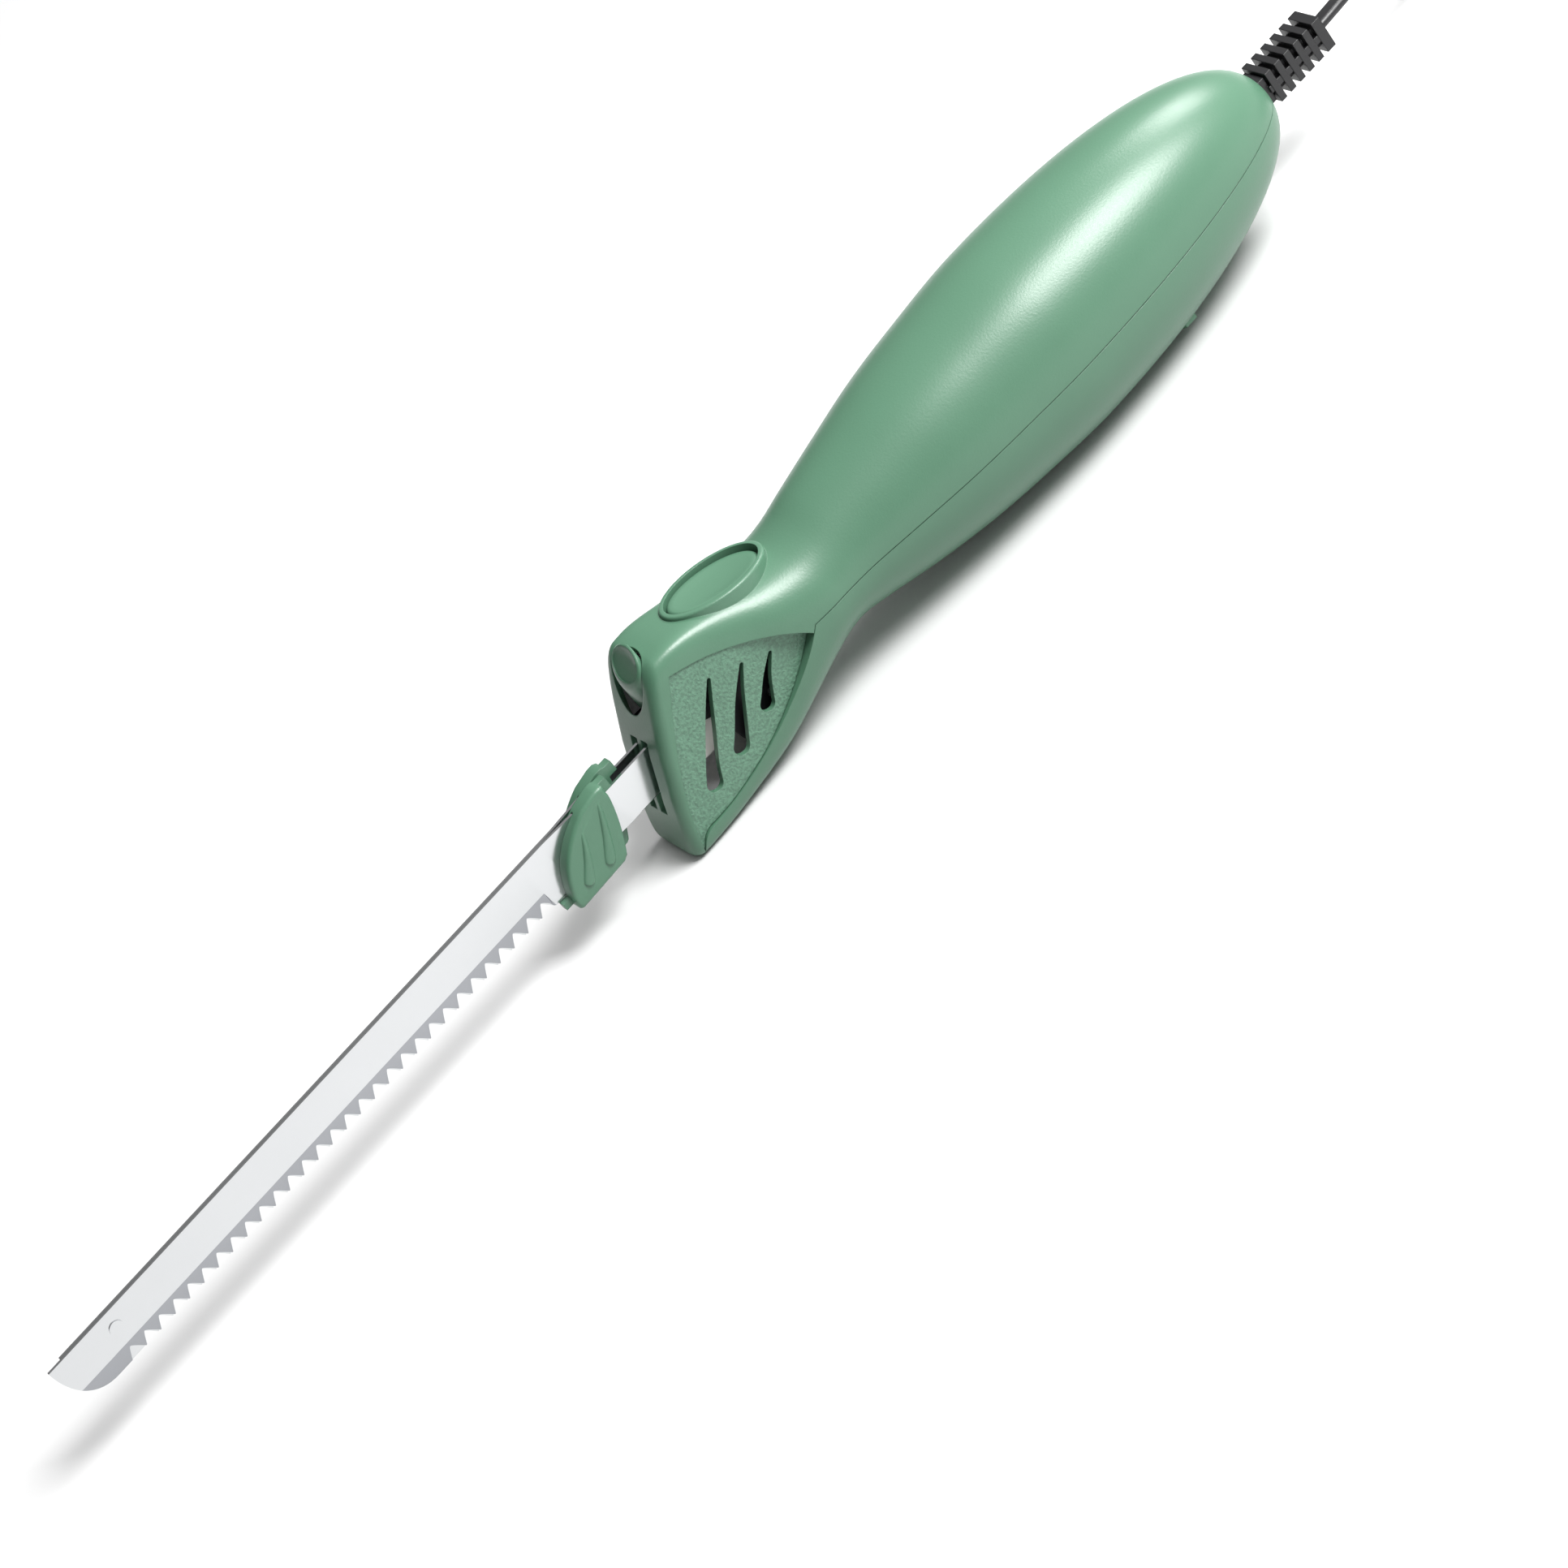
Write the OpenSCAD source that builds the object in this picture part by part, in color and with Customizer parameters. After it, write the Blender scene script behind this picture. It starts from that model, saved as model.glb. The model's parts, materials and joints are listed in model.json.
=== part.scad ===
// Corded electric knife: a moulded handle holds a motor, a worm drive and two cranked slides,
// and the slides push a pair of serrated blades back and forth in opposite phase.
// Frame: +X from the cord to the blade tip, +Y to the left, +Z up, resting surface at Z = 0.

/* [Handle] */
// Largest radius of the round handle, which is also the height of its axis above the table
handle_r = 31; // [30.5:0.25:31.5]
// Distance from the head's front reference to the widest point of the handle
belly_x = 163; // [160:1:166]
// Length of the rounded tail behind the widest point
tail_len = 96; // [94:1:98]
// Wall thickness of the two shells
wall = 2.5; // [2:0.1:2.8]

/* [Head] */
// Half width of the head at its front face
head_half_w = 12.8; // [12.4:0.2:13.4]
// Height of the head's top edge above the handle axis
head_top = 24.3; // [23.5:0.1:25]
// Radius that rounds the front face into the sides
nose_r = 3.5; // [2.5:0.5:4.5]

/* [Blades] */
// Reach of the left blade's tip ahead of the head's front reference
blade_reach = 224; // [220:1:228]
// Thickness of each blade
blade_t = 1.0; // [0.8:0.1:1.2]
// Height of the spine above the handle axis
spine_z = 3.9; // [3.5:0.1:4.3]
// Distance of the tooth tips below the handle axis
edge_z = 12.9; // [12.5:0.1:13.3]
// Tooth pitch
tooth_pitch = 5.5; // [5.4:0.05:5.5]
// Number of teeth on each blade
teeth = 30; // [26:1:30]
// Depth of the gullets between the teeth
gullet = 4.0; // [3.6:0.1:4.2]
// Travel of each blade from one end of its stroke to the other
stroke = 4.8; // [4.4:0.2:5.2]

/* [Controls] */
// Length of the oval run button
button_len = 30; // [28:1:31]
// Width of the oval run button
button_w = 18.5; // [17:0.5:19]
// Tilt of the run button's face, up towards the front
button_tilt = 10; // [8:0.5:12]
// Press travel of the run button
button_travel = 3; // [2:0.5:3.5]
// Press travel of the blade release plunger
release_travel = 4; // [3:0.5:4]
// Slide travel of the lock slider on the belly
lock_travel = 6; // [4:1:7]

/* [Drive] */
// Teeth on the worm gear
gear_teeth = 24; // [24:1:24]
// Axial pitch of the single-start worm
worm_pitch = 2.5; // [2.5:0.1:2.5]
// Radius of the motor shaft
shaft_r = 2; // [1.8:0.1:2.2]

/* [Cord] */
// Width of the flat twin cord
cord_w = 5.4; // [5:0.1:5.6]
// Thickness of the flat twin cord
cord_t = 2.8; // [2.6:0.1:3]

/* [Hidden] */
$fn = 48;

green = [0.49, 0.67, 0.56];
green_dark = [0.40, 0.57, 0.47];
steel = [0.80, 0.81, 0.83];
black = [0.06, 0.06, 0.07];
copper = [0.72, 0.42, 0.24];
white_pom = [0.90, 0.90, 0.86];

// ---- Places along the knife, measured from the head's front reference on the handle axis ----
front_x = -3.2;
tail_x = -(belly_x + tail_len);
relief_len = 25;
relief_end_x = tail_x - relief_len;
mid_x = (blade_reach + relief_end_x) / 2;
module knife() translate([-mid_x, 0, handle_r]) children();

// ---- Outline of the moulded body ----
// Each station: x on the axis, half width, top, bottom, squareness of the section, rake
stations = [
    [front_x, head_half_w, head_top, handle_r, 9, 0.45],
    [-12, head_half_w + 0.4, head_top + 0.3, handle_r, 8, 0.43],
    [-25, 14.0, 23.1, 30.4, 5.4, 0.36],
    [-40, 16.2, 20.8, 27.8, 3.6, 0.20],
    [-52, 18.7, 18.6, 23.2, 2.6, 0.08],
    [-64, 20.2, 17.6, 19.0, 2.1, 0],
    [-72, 20.3, 18.6, 18.0, 2, 0],
    [-81, 21.0, 20.9, 19.9, 2, 0],
    [-99, 24.3, 24.3, 24.2, 2, 0],
    [-117, 27.4, 27.4, 27.3, 2, 0],
    [-135, 29.3, 29.3, 29.3, 2, 0],
    [-belly_x, handle_r, handle_r, handle_r, 2, 0]];
last = len(stations) - 1;

function slope(i, k) = let(a = max(i - 1, 0), b = min(i + 1, last))
    i == last ? 0 : (stations[b][k] - stations[a][k]) / (stations[b][0] - stations[a][0]);
function hermite(i, k, x) = let(
    x0 = stations[i][0], h = stations[i + 1][0] - x0, u = (x - x0) / h)
    stations[i][k] * (2 * u ^ 3 - 3 * u ^ 2 + 1) + stations[i + 1][k] * (3 * u ^ 2 - 2 * u ^ 3)
    + h * slope(i, k) * (u ^ 3 - 2 * u ^ 2 + u) + h * slope(i + 1, k) * (u ^ 3 - u ^ 2);
function span(x, i = 0) = i >= last - 1 || x > stations[i + 1][0] ? i : span(x, i + 1);
function tail_radius(x, inset) = (handle_r - inset)
    * max(0, 1 - max(0, (-x - belly_x) / (tail_len - inset)) ^ 2.1) ^ (1 / 2.45);
// Section at x, inset by the wall: [half width, top, bottom, squareness, rake]
function section(x, inset) = x <= -belly_x
    ? let(r = tail_radius(x, inset)) [r, r, r, 2, 0]
    : let(i = span(x)) [hermite(i, 1, x) - inset, hermite(i, 2, x) - inset,
        hermite(i, 3, x) - inset, hermite(i, 4, x), hermite(i, 5, x)];

// ---- Lofted body ----
sides = 48;
function spow(v, e) = sign(v) * abs(v) ^ e;
function ring(x, s) = [for (i = [0:sides - 1]) let(
    a = 360 * i / sides,
    y = s[0] * spow(cos(a), 2 / s[3]),
    z = (sin(a) >= 0 ? s[1] : s[2]) * spow(sin(a), 2 / s[3]))
    [x - s[4] * (z + 0.0078 * z * z), y, z]];
function shrink(s, d) = [s[0] - d, s[1] - d, s[2] - d, s[3], s[4]];
body_xs = concat([for (x = [-10:-4.5:-64]) x], [-68, -72, -77], [for (x = [-84:-9:-156]) x]);

// Rings from the raked front face to the tail; the front rim is rounded by nose_r
function body_rings(inset) = concat(
    [for (a = inset > 0 ? [0] : [0:30:90]) let(
        r = inset > 0 ? 0 : nose_r,
        x = front_x - max(inset, 0) - r * (1 - cos(a)))
        ring(x, shrink(section(x, inset), r * (1 - sin(a))))],
    [for (x = body_xs) ring(x, section(x, inset))],
    [for (a = [0, 12, 24, 36, 48, 58, 66, 74, 81, 86]) let(
        x = -belly_x - (tail_len - inset) * sin(a)) ring(x, section(x, inset))]);

// Closed solid through equal rings, with a strip over the first and a fan over the last
module loft(rings, end) {
    n = len(rings);
    half = sides / 2;
    cap = [for (i = [-sides / 4:sides / 4 - 1]) [(half - i) % sides, (half - i - 1) % sides,
        (i + 1 + sides) % sides, (i + sides) % sides]];
    polyhedron(
        points = concat([for (r = rings) each r], [end]),
        faces = concat(
            [for (c = cap) if (c[1] != c[2]) [c[0], c[1], c[2]]],
            [for (c = cap) if (c[0] != c[3]) [c[0], c[2], c[3]]],
            [for (r = [0:n - 2], i = [0:sides - 1], t = [0, 1]) let(
                a = r * sides + i, b = r * sides + (i + 1) % sides)
                t == 0 ? [a, b, b + sides] : [a, b + sides, a + sides]],
            [for (i = [0:sides - 1]) [(n - 1) * sides + i, (n - 1) * sides + (i + 1) % sides,
                n * sides]]));
}
module body_solid(inset = 0) loft(body_rings(inset), [tail_x + inset, 0, 0]);

// ---- Helpers ----
// Flat outline in X and Z, thickened along Y from y0 to y1
module side_plate(y0, y1) translate([0, y1, 0]) rotate([90, 0, 0]) linear_extrude(y1 - y0) children();
module x_rod(x0, x1, r, n = 48)
    translate([x0, 0, 0]) rotate([0, 90, 0]) cylinder(r = r, h = x1 - x0, $fn = n);
module box(a, b) translate(a) cube(b - a);
module both_sides() {
    children();
    mirror([0, 1, 0]) children();
}
module oval(a, b) polygon([for (i = [0:47]) [a * cos(7.5 * i), b * sin(7.5 * i)]]);
function bezier(p, t) =
    (1 - t) ^ 3 * p[0] + 3 * t * (1 - t) ^ 2 * p[1] + 3 * t ^ 2 * (1 - t) * p[2] + t ^ 3 * p[3];
function curve(p, n) = [for (i = [0:n]) bezier(p, i / n)];

// ---- Parting line of the two shells: level along the handle, diving to the chin ----
dive = [[-58, 0], [-50, -9], [-28, -24.5], [-2, -24.8]];
chin = [[-2, -24.8], [1.5, -25.3], [3.8, -28], [5, -36]];
module upper_region() side_plate(-40, 40)
    polygon(concat([[-300, 0]], curve(dive, 12), curve(chin, 5), [[40, -36], [40, 60], [-300, 60]]));

// ---- Run button ----
button_at = [-48.5, 0, 21.9];
collar_rim = 2.2;
button_gap = 0.6;
module on_button() translate(button_at) rotate([0, -button_tilt, 0]) children();
module collar() on_button() translate([0, 0, -8]) linear_extrude(8)
    oval(button_len / 2 + collar_rim, button_w / 2 + collar_rim);
module button_well() on_button() translate([0, 0, -20]) linear_extrude(40)
    oval(button_len / 2 + button_gap, button_w / 2 + button_gap);

// ---- Blade release plunger ----
plunger_at = [-15.2, 0];
plunger_half = [4.1, 7.6];
plunger_well = [-14.2, 6.0, 8.3];
plunger_bottom = 9.2;
module plunger_prism(z0, z1, grow) translate([plunger_at[0], 0, z0]) linear_extrude(z1 - z0)
    oval(plunger_half[0] + grow, plunger_half[1] + grow);

// ---- Vents: three slanted drops through both cheeks of the head ----
vents = [
    [[-27.2, 9.0, 0.6], [-18.6, -3.0, 1.6], [-13.2, -11.0, 2.0], [-10.4, -16.0, 2.5]],
    [[-36.6, 5.4, 0.6], [-29.1, -4.0, 1.7], [-25.0, -10.0, 2.0], [-22.4, -13.6, 2.5]],
    [[-44.6, 1.6, 0.6], [-40.0, -3.2, 1.4], [-37.2, -7.0, 1.8], [-35.3, -9.6, 2.3]]];
module vent_drop(p)
    translate([p[0], 0, p[1]]) rotate([90, 0, 0]) cylinder(r = p[2], h = 60, center = true, $fn = 20);
module vent_cuts() for (v = vents, i = [0:2]) hull() {
    vent_drop(v[i]);
    vent_drop(v[i + 1]);
}

// ---- Screw posts: x, y, floor of the screw head, where the shells meet, screw length ----
posts = [[-9, 0, -26.5, -24.6, 8], [-79, 9.5, -12, 0, 14], [-79, -9.5, -12, 0, 14],
    [-222, 11, -12, 0, 14], [-222, -11, -12, 0, 14]];
screw_r = 1.4;
screw_head_r = 2.7;
clamp_x = -240;
clamp_screw_r = 1.35;
module post(p, z0, z1, r) translate([p[0], p[1], z0]) cylinder(r = r, h = z1 - z0);

// ---- Shells ----
slot_half = [0.9, 4.5];
slot_z = [-17.2, 3.6];
relief_hole = 4.3;
lock_x = [-200, -169];
lock_half_w = 16.5;
lock_depth = 1.6;
module front_cuts() {
    vent_cuts();
    both_sides() box([-20, slot_half[0], slot_z[0]], [20, slot_half[1], slot_z[1]]);
    translate([plunger_well[0], 0, plunger_bottom - release_travel - 2]) linear_extrude(60)
        oval(plunger_well[1], plunger_well[2]);
    button_well();
    box([tail_x - 5, -relief_hole, -relief_hole], [tail_x + 12, relief_hole, relief_hole]);
}
// Side panel: a flat that leans out by 4 degrees, bounded by a curved crease
crease = [[-19.5, 18.6], [-33, 15], [-50, 7], [-57.4, -3]];
panel_front = [[3.5, -28], [0, -12], [-9, 3], [-19.5, 18.6]];
module panel_cut() both_sides() translate([0, 11.9, 0]) rotate([0, 0, -4])
    side_plate(0, 20) polygon(concat(curve(crease, 8), [[-58, -40], [3.5, -40]], curve(panel_front, 6)));

// Hollow of the shells, kept a wall's thickness behind the side panels
module cavity() difference() {
    body_solid(wall);
    both_sides() translate([0, 11.9 - 1.9, 0]) rotate([0, 0, -4])
        translate([-62, 0, -40]) cube([70, 20, 62]);
}
module shell_blank() difference() {
    body_solid();
    cavity();
}
module upper_shell() knife() color(green) difference() {
    intersection() {
        union() {
            shell_blank();
            collar();
            intersection() {
                body_solid(wall / 2);
                union() {
                    box([-12, -20, posts[0][3] - 3], [-6, 20, -17.6]);
                    for (i = [1:4]) post(posts[i], 0, 40, 3.4);
                }
            }
        }
        upper_region();
    }
    panel_cut();
    front_cuts();
    for (p = posts) post(p, p[2], p[2] + p[4] + 0.8, screw_r);
}
module lower_shell() knife() color(green) difference() {
    union() {
        difference() {
            shell_blank();
            upper_region();
        }
        difference() {
            intersection() {
                body_solid(wall / 2);
                union() {
                    for (p = posts) post(p, -40, p[3], 3.8);
                    both_sides() translate([clamp_x, 7, -30]) cylinder(r = 3, h = 28);
                    box([clamp_x - 3, -4, -30], [clamp_x + 3, 4, -cord_t / 2 - 0.1]);
                }
            }
            upper_region();
        }
    }
    front_cuts();
    for (p = posts) {
        post(p, p[2] - 30, p[2], screw_head_r + 0.2);
        post(p, p[2] - 1, p[3] + 1, screw_r);
    }
    lock_band(0, lock_depth, lock_x[0], lock_x[1], lock_half_w);
    box([-191, -1.9, -40], [-178, 1.9, -20]);
    both_sides() translate([clamp_x, 7, -12]) cylinder(r = clamp_screw_r + 0.05, h = 20);
}
// Band of the belly's skin between two depths, over a range of x and |y|
module lock_band(d0, d1, x0, x1, half_w) intersection() {
    difference() {
        body_solid(d0 == 0 ? -1 : d0);
        body_solid(d1);
    }
    box([x0, -half_w, -40], [x1, half_w, -12]);
}

// ---- Controls ----
button_floor = -2.6;
spring_seat = -13.6;
module run_button() knife() color(green) on_button() difference() {
    union() {
        translate([0, 0, -9.4]) linear_extrude(9.0) oval(button_len / 2, button_w / 2);
        translate([0, 0, -10]) linear_extrude(1.5) oval(button_len / 2 + 1.6, button_w / 2 + 1.4);
    }
    translate([0, 0, -12]) cylinder(r = 5, h = 12 + button_floor);
}
// Round wire wound about the Z axis between two heights
module coil_spring(r, wire, z0, z1, turns) {
    n = turns * 10;
    m = 8;
    points = [for (i = [0:n], j = [0:m - 1]) let(
        a = 36 * i, b = 360 * j / m, q = r + wire * cos(b))
        [q * cos(a), q * sin(a), z0 + wire + (z1 - z0 - 2 * wire) * i / n + wire * sin(b)]];
    tube(points, n + 1, m);
}
// Closed tube over rings of m points each
module tube(points, rings, m) polyhedron(points = points, faces = concat(
    [[for (j = [0:m - 1]) j]],
    [for (i = [0:rings - 2], j = [0:m - 1], t = [0, 1]) let(
        a = i * m + j, b = i * m + (j + 1) % m)
        t == 0 ? [a, a + m, b + m] : [a, b + m, b]],
    [[for (j = [m - 1:-1:0]) (rings - 1) * m + j]]));
module button_spring() knife() color(steel) on_button()
    coil_spring(3.8, 0.4, spring_seat, button_floor, 4.5);

module release_plunger() knife() color(green) difference() {
    union() {
        plunger_prism(plunger_bottom, 40, 0);
        intersection() {
            plunger_prism(14.4, 15.9, 1.8);
            box([-30, -20, 0], [plunger_at[0] - 1, 20, 30]);
        }
    }
    translate([plunger_at[0], 0, 23.3]) rotate([0, 50, 0]) translate([-30, -30, 0]) cube(60);
    translate([plunger_at[0], 0, 0]) cylinder(r = 3.3, h = 14);
}
module plunger_spring() knife() color(steel) translate([plunger_at[0], 0, 0])
    coil_spring(2.6, 0.35, 4.6, 14, 4.5);

module lock_slider() knife() color(green_dark) union() {
    lock_band(0.15, 0.9, lock_x[0] + 0.3, lock_x[1] - lock_travel - 0.4, lock_half_w - 0.3);
    intersection() {
        difference() {
            x_rod(lock_x[0] - 1, 0, handle_r - 0.3, 96);
            body_solid(0.9);
        }
        box([lock_x[0] + 0.3, -15, -40], [lock_x[0] + 4.5, 15, -12]);
    }
    box([-190.6, -1.5, -29.3], [-184.6, 1.5, -25.6]);
    box([-192, -4, -26.7], [-183, 4, -25.6]);
}
module switch_body() knife() color(black) union() {
    box([-50, -7, 4.2], [-30, 7, 7.6]);
    box([-38, -7, 4.2], [-30, 7, 9.8]);
    on_button() translate([0, 0, spring_seat - 2.4]) cylinder(r = 3.2, h = 2.4);
    on_button() translate([0, 0, spring_seat - 1]) cylinder(r = 1.6, h = 8.6);
}

// ---- Motor ----
stator_x = [-158, -130];
tie_z = 21.4;
tie_r = 1.5;
module stator_core() knife() color(steel) difference() {
    intersection() {
        x_rod(stator_x[0], stator_x[1], 26, 96);
        box([-160, -20, -30], [-120, 20, 30]);
    }
    x_rod(-160, -120, 12.6);
    for (z = [-1, 1]) {
        translate([0, 0, z * tie_z]) x_rod(-160, -120, tie_r + 0.1);
        for (y = [-1, 1]) translate([-160, y * 13.75 - 3.05, z * 9.25 - 3.55]) cube([40, 6.1, 7.1]);
    }
}
module field_coils() knife() color(copper) for (s = [0, 180]) rotate([s, 0, 0]) union() {
    both_sides() box([-162, 11, 6], [-126, 16.5, 12.5]);
    for (x = [-162, -129.6]) box([x, -16.5, 10.3], [x + 3.6, 16.5, 15]);
}
module bearing(x, w, r) difference() {
    x_rod(x, x + w, r);
    x_rod(x - 1, x + w + 1, shaft_r + 0.05);
}
module front_bearing() knife() color(copper) bearing(-68, 6, 4.2);
module rear_bearing() knife() color(copper) bearing(-197, 6, 6);
module bracket_blank(x0, x1, arm0, arm1) {
    box([x0, -9, -12], [x1, 9, 12]);
    for (z = [-1, 1]) {
        box([x0, -4.5, min(z * 11, z * 23.6)], [x1, 4.5, max(z * 11, z * 23.6)]);
        box([arm0, -3, min(z * 19.6, z * 23.2)], [arm1, 3, max(z * 19.6, z * 23.2)]);
    }
}
module tie_holes() for (z = [-tie_z, tie_z]) translate([0, 0, z]) x_rod(-210, -100, tie_r + 0.1);
module front_motor_bracket() knife() color(steel) difference() {
    union() {
        bracket_blank(-119, -116, -130, -118);
        x_rod(-121, -115, 5);
    }
    tie_holes();
    x_rod(-125, -110, shaft_r + 0.05);
}
module rear_motor_bracket() knife() color(steel) difference() {
    bracket_blank(-195, -191, -192, -158);
    tie_holes();
    x_rod(-200, -185, 6.02);
}
module motor_screws() knife() color(steel) for (z = [-tie_z, tie_z]) translate([0, 0, z]) {
    x_rod(-195, -113.6, tie_r);
    x_rod(-197.4, -195, 2.6);
    x_rod(-116, -113.8, 2.6, 6);
}
brush_x = -176;
module brush_holders() knife() color(copper) both_sides() difference() {
    box([brush_x - 4, 8, -4], [brush_x + 4, 22, 4]);
    box([brush_x - 2.6, 7, -2.6], [brush_x + 2.6, 20, 2.6]);
}
module carbon_brushes() knife() color(black) both_sides()
    box([brush_x - 2.5, 6.6, -2.5], [brush_x + 2.5, 14, 2.5]);
module motor_shaft() knife() color(steel) x_rod(-200, -53, shaft_r);
module on_shaft() difference() {
    children();
    x_rod(-199, -54, shaft_r + 0.01);
}
module rotor_core() knife() color(steel) on_shaft() difference() {
    x_rod(stator_x[0], stator_x[1], 12.2);
    for (i = [0:11]) rotate([30 * i, 0, 0]) box([-160, -0.6, 10.6], [-120, 0.6, 14]);
}
module rotor_windings() knife() color(copper) on_shaft() union() {
    x_rod(-166, stator_x[0], 9.5);
    x_rod(stator_x[1], -122, 9.5);
}
module commutator() knife() color(copper) on_shaft() difference() {
    x_rod(-182, -170, 6.5);
    for (i = [0:11]) rotate([30 * i, 0, 0]) box([-183, -0.2, 6], [-171, 0.2, 8]);
}
module cooling_fan() knife() color(black) on_shaft() union() {
    x_rod(-112, -102, 5);
    x_rod(-104, -102, 20);
    for (i = [0:10]) rotate([360 / 11 * i, 0, 0]) box([-112, -0.6, 4], [-103, 0.6, 19.6]);
}

// ---- Worm drive ----
gear_x = -40;
gear_z = -12.25;
worm_root = 2.2;
worm_tip = 3.2;
worm_x = [-52, -30];
function thread_r(x, a) = let(
    v = (x - gear_x) / worm_pitch - 0.5 - (a + 90) / 360, u = abs(v - round(v)) * worm_pitch)
    worm_root + (worm_tip - worm_root) * min(1, max(0, (0.55 - u) / 0.3));
module worm() knife() color(steel) {
    m = 20;
    step = worm_pitch / 12;
    n = floor((worm_x[1] - worm_x[0]) / step);
    union() {
        tube([for (i = [0:n], j = [0:m - 1]) let(
            x = worm_x[0] + i * step, a = 360 * j / m, r = thread_r(x, a))
            [x, r * cos(a), r * sin(a)]], n + 1, m);
        x_rod(-53, -26.4, shaft_r - 0.05);
    }
}
// Frame of two cheeks, a bearing wall at each end of the worm, and a deck over the slides
cheek = [[-67, -8], [-67, 2], [-30, 2], [-30, 4.6], [-8.5, 4.6], [-8.5, 2.4], [-23, -3.5],
    [-27, -21.5], [-45, -20.5], [-52, -17.5], [-60, -13]];
module gear_frame() knife() color(black) difference() {
    union() {
        both_sides() side_plate(6.2, 8.2) polygon(cheek);
        box([-30, -8.2, 3.6], [-8.5, 8.2, 4.6]);
        box([-29.6, -3, -3.4], [-26.6, 3, 4]);
        box([-67, -8.2, -8], [-63, 8.2, 5]);
    }
    x_rod(-40, -20, shaft_r);
    x_rod(-70, -60, 4.22);
    translate([gear_x, 0, gear_z]) rotate([90, 0, 0]) cylinder(r = 1.51, h = 40, center = true);
}
module gear_axle() knife() color(steel) translate([gear_x, 0, gear_z]) rotate([90, 0, 0])
    cylinder(r = 1.5, h = 18, center = true);
module on_axle() difference() {
    children();
    rotate([90, 0, 0]) cylinder(r = 1.55, h = 20, center = true);
}
module worm_gear() knife() color(white_pom) translate([gear_x, 0, gear_z]) on_axle() union() {
    rotate([90, 0, 0]) cylinder(r = 8.7, h = 2.4, center = true);
    rotate([90, 0, 0]) cylinder(r = 6.4, h = 6, center = true);
    for (i = [0:gear_teeth - 1]) rotate([0, 360 / gear_teeth * i, 0])
        translate([-0.4, -1.2, 8]) cube([0.8, 2.4, 1.75]);
}
module drive_cams() knife() color(steel) translate([gear_x, 0, gear_z]) on_axle() union() {
    translate([stroke / 2, 6, 0]) rotate([90, 0, 0]) cylinder(r = 4.2, h = 3);
    translate([-stroke / 2, -3, 0]) rotate([90, 0, 0]) cylinder(r = 4.2, h = 3);
}
module stadium(x0, x1, r) {
    translate([x0, gear_z]) circle(r);
    translate([x1, gear_z]) circle(r);
    translate([x0, gear_z - r]) square([x1 - x0, 2 * r]);
}
// Slide for one blade; dx sets it back at rest
module drive_slide(dx) difference() {
    union() {
        side_plate(3.6, 5.6) union() {
            translate([dx, 0]) stadium(gear_x, gear_x + stroke, 9.2);
            translate([dx - 32, -13]) square([20, 16]);
        }
        box([dx - 20.8, 1.2, -13], [dx - 7.8, 5.6, 3]);
    }
    side_plate(3, 7) translate([dx, 0]) stadium(gear_x, gear_x + stroke, 6.9);
    box([dx - 30, 1.75, -11.45], [dx, 2.85, 1.65]);
    box([dx - 10.4, 1.7, 1.6], [dx - 9.2, 2.9, 4]);
}
module latch(dx) translate([dx, 0, 0]) {
    box([-20, 1.4, 3.01], [-8.6, 5.4, 3.25]);
    box([-10.2, 1.85, 1.8], [-9.4, 2.75, 3.1]);
}
module left_drive_slide() knife() color(white_pom) drive_slide(0);
module right_drive_slide() knife() color(white_pom) mirror([0, 1, 0]) drive_slide(-stroke);
module left_latch() knife() color(steel) latch(0);
module right_latch() knife() color(steel) mirror([0, 1, 0]) latch(-stroke);

// ---- Blades: toothed edge down, joggled apart behind the guard ----
first_tooth = blade_reach - 17.3;
heel_x = 38;
function tooth(i) = let(x = first_tooth - i * tooth_pitch, e = -edge_z, g = gullet) [
    [x + 0.15, e], [x - 0.2, e], [x - 0.33 * tooth_pitch, e + 0.86 * g],
    [x - 0.41 * tooth_pitch, e + g], [x - 0.52 * tooth_pitch, e + 0.86 * g]];
blade_side = concat(
    [[-20, 1.6], [20, 1.6], [22, spine_z], [blade_reach, spine_z]],
    curve([[blade_reach, spine_z], [blade_reach - 2, -3], [blade_reach - 5, -12.6],
        [blade_reach - 12, -edge_z]], 6),
    [for (i = [0:teeth - 1]) each tooth(i)],
    [[first_tooth - teeth * tooth_pitch + 4.4, -edge_z],
     [heel_x, -edge_z], [heel_x - 3, -11.4], [-20, -11.4]]);
function blade_plan(d) = [[blade_reach + 1, 0.05 - d], [34, 0.05 - d], [12, 1.8 - d], [-21, 1.8 - d],
    [-21, 1.8 + blade_t + d], [12, 1.8 + blade_t + d], [34, 0.05 + blade_t + d],
    [blade_reach + 1, 0.05 + blade_t + d]];
module blade_blank() intersection() {
    side_plate(-1, 5) polygon(blade_side);
    translate([0, 0, -20]) linear_extrude(40) polygon(blade_plan(0));
}
rivet = [blade_reach - 20.7, -1.7];
module rivet_rod(y0, y1, r) translate([rivet[0], y1, rivet[1]]) rotate([90, 0, 0])
    cylinder(r = r, h = y1 - y0, $fn = 32);
module left_blade() knife() color(steel) difference() {
    blade_blank();
    rivet_rod(-3, 3, 1.46);
}
module right_blade() knife() color(steel) difference() {
    mirror([0, 1, 0]) translate([-stroke, 0, 0]) blade_blank();
    rivet_rod(-3, 3, 1.8);
    translate([-2 * stroke, 0, 0]) rivet_rod(-3, 3, 1.8);
    box([rivet[0] - 2 * stroke, -3, rivet[1] - 1.8], [rivet[0], 3, rivet[1] + 1.8]);
}
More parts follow.
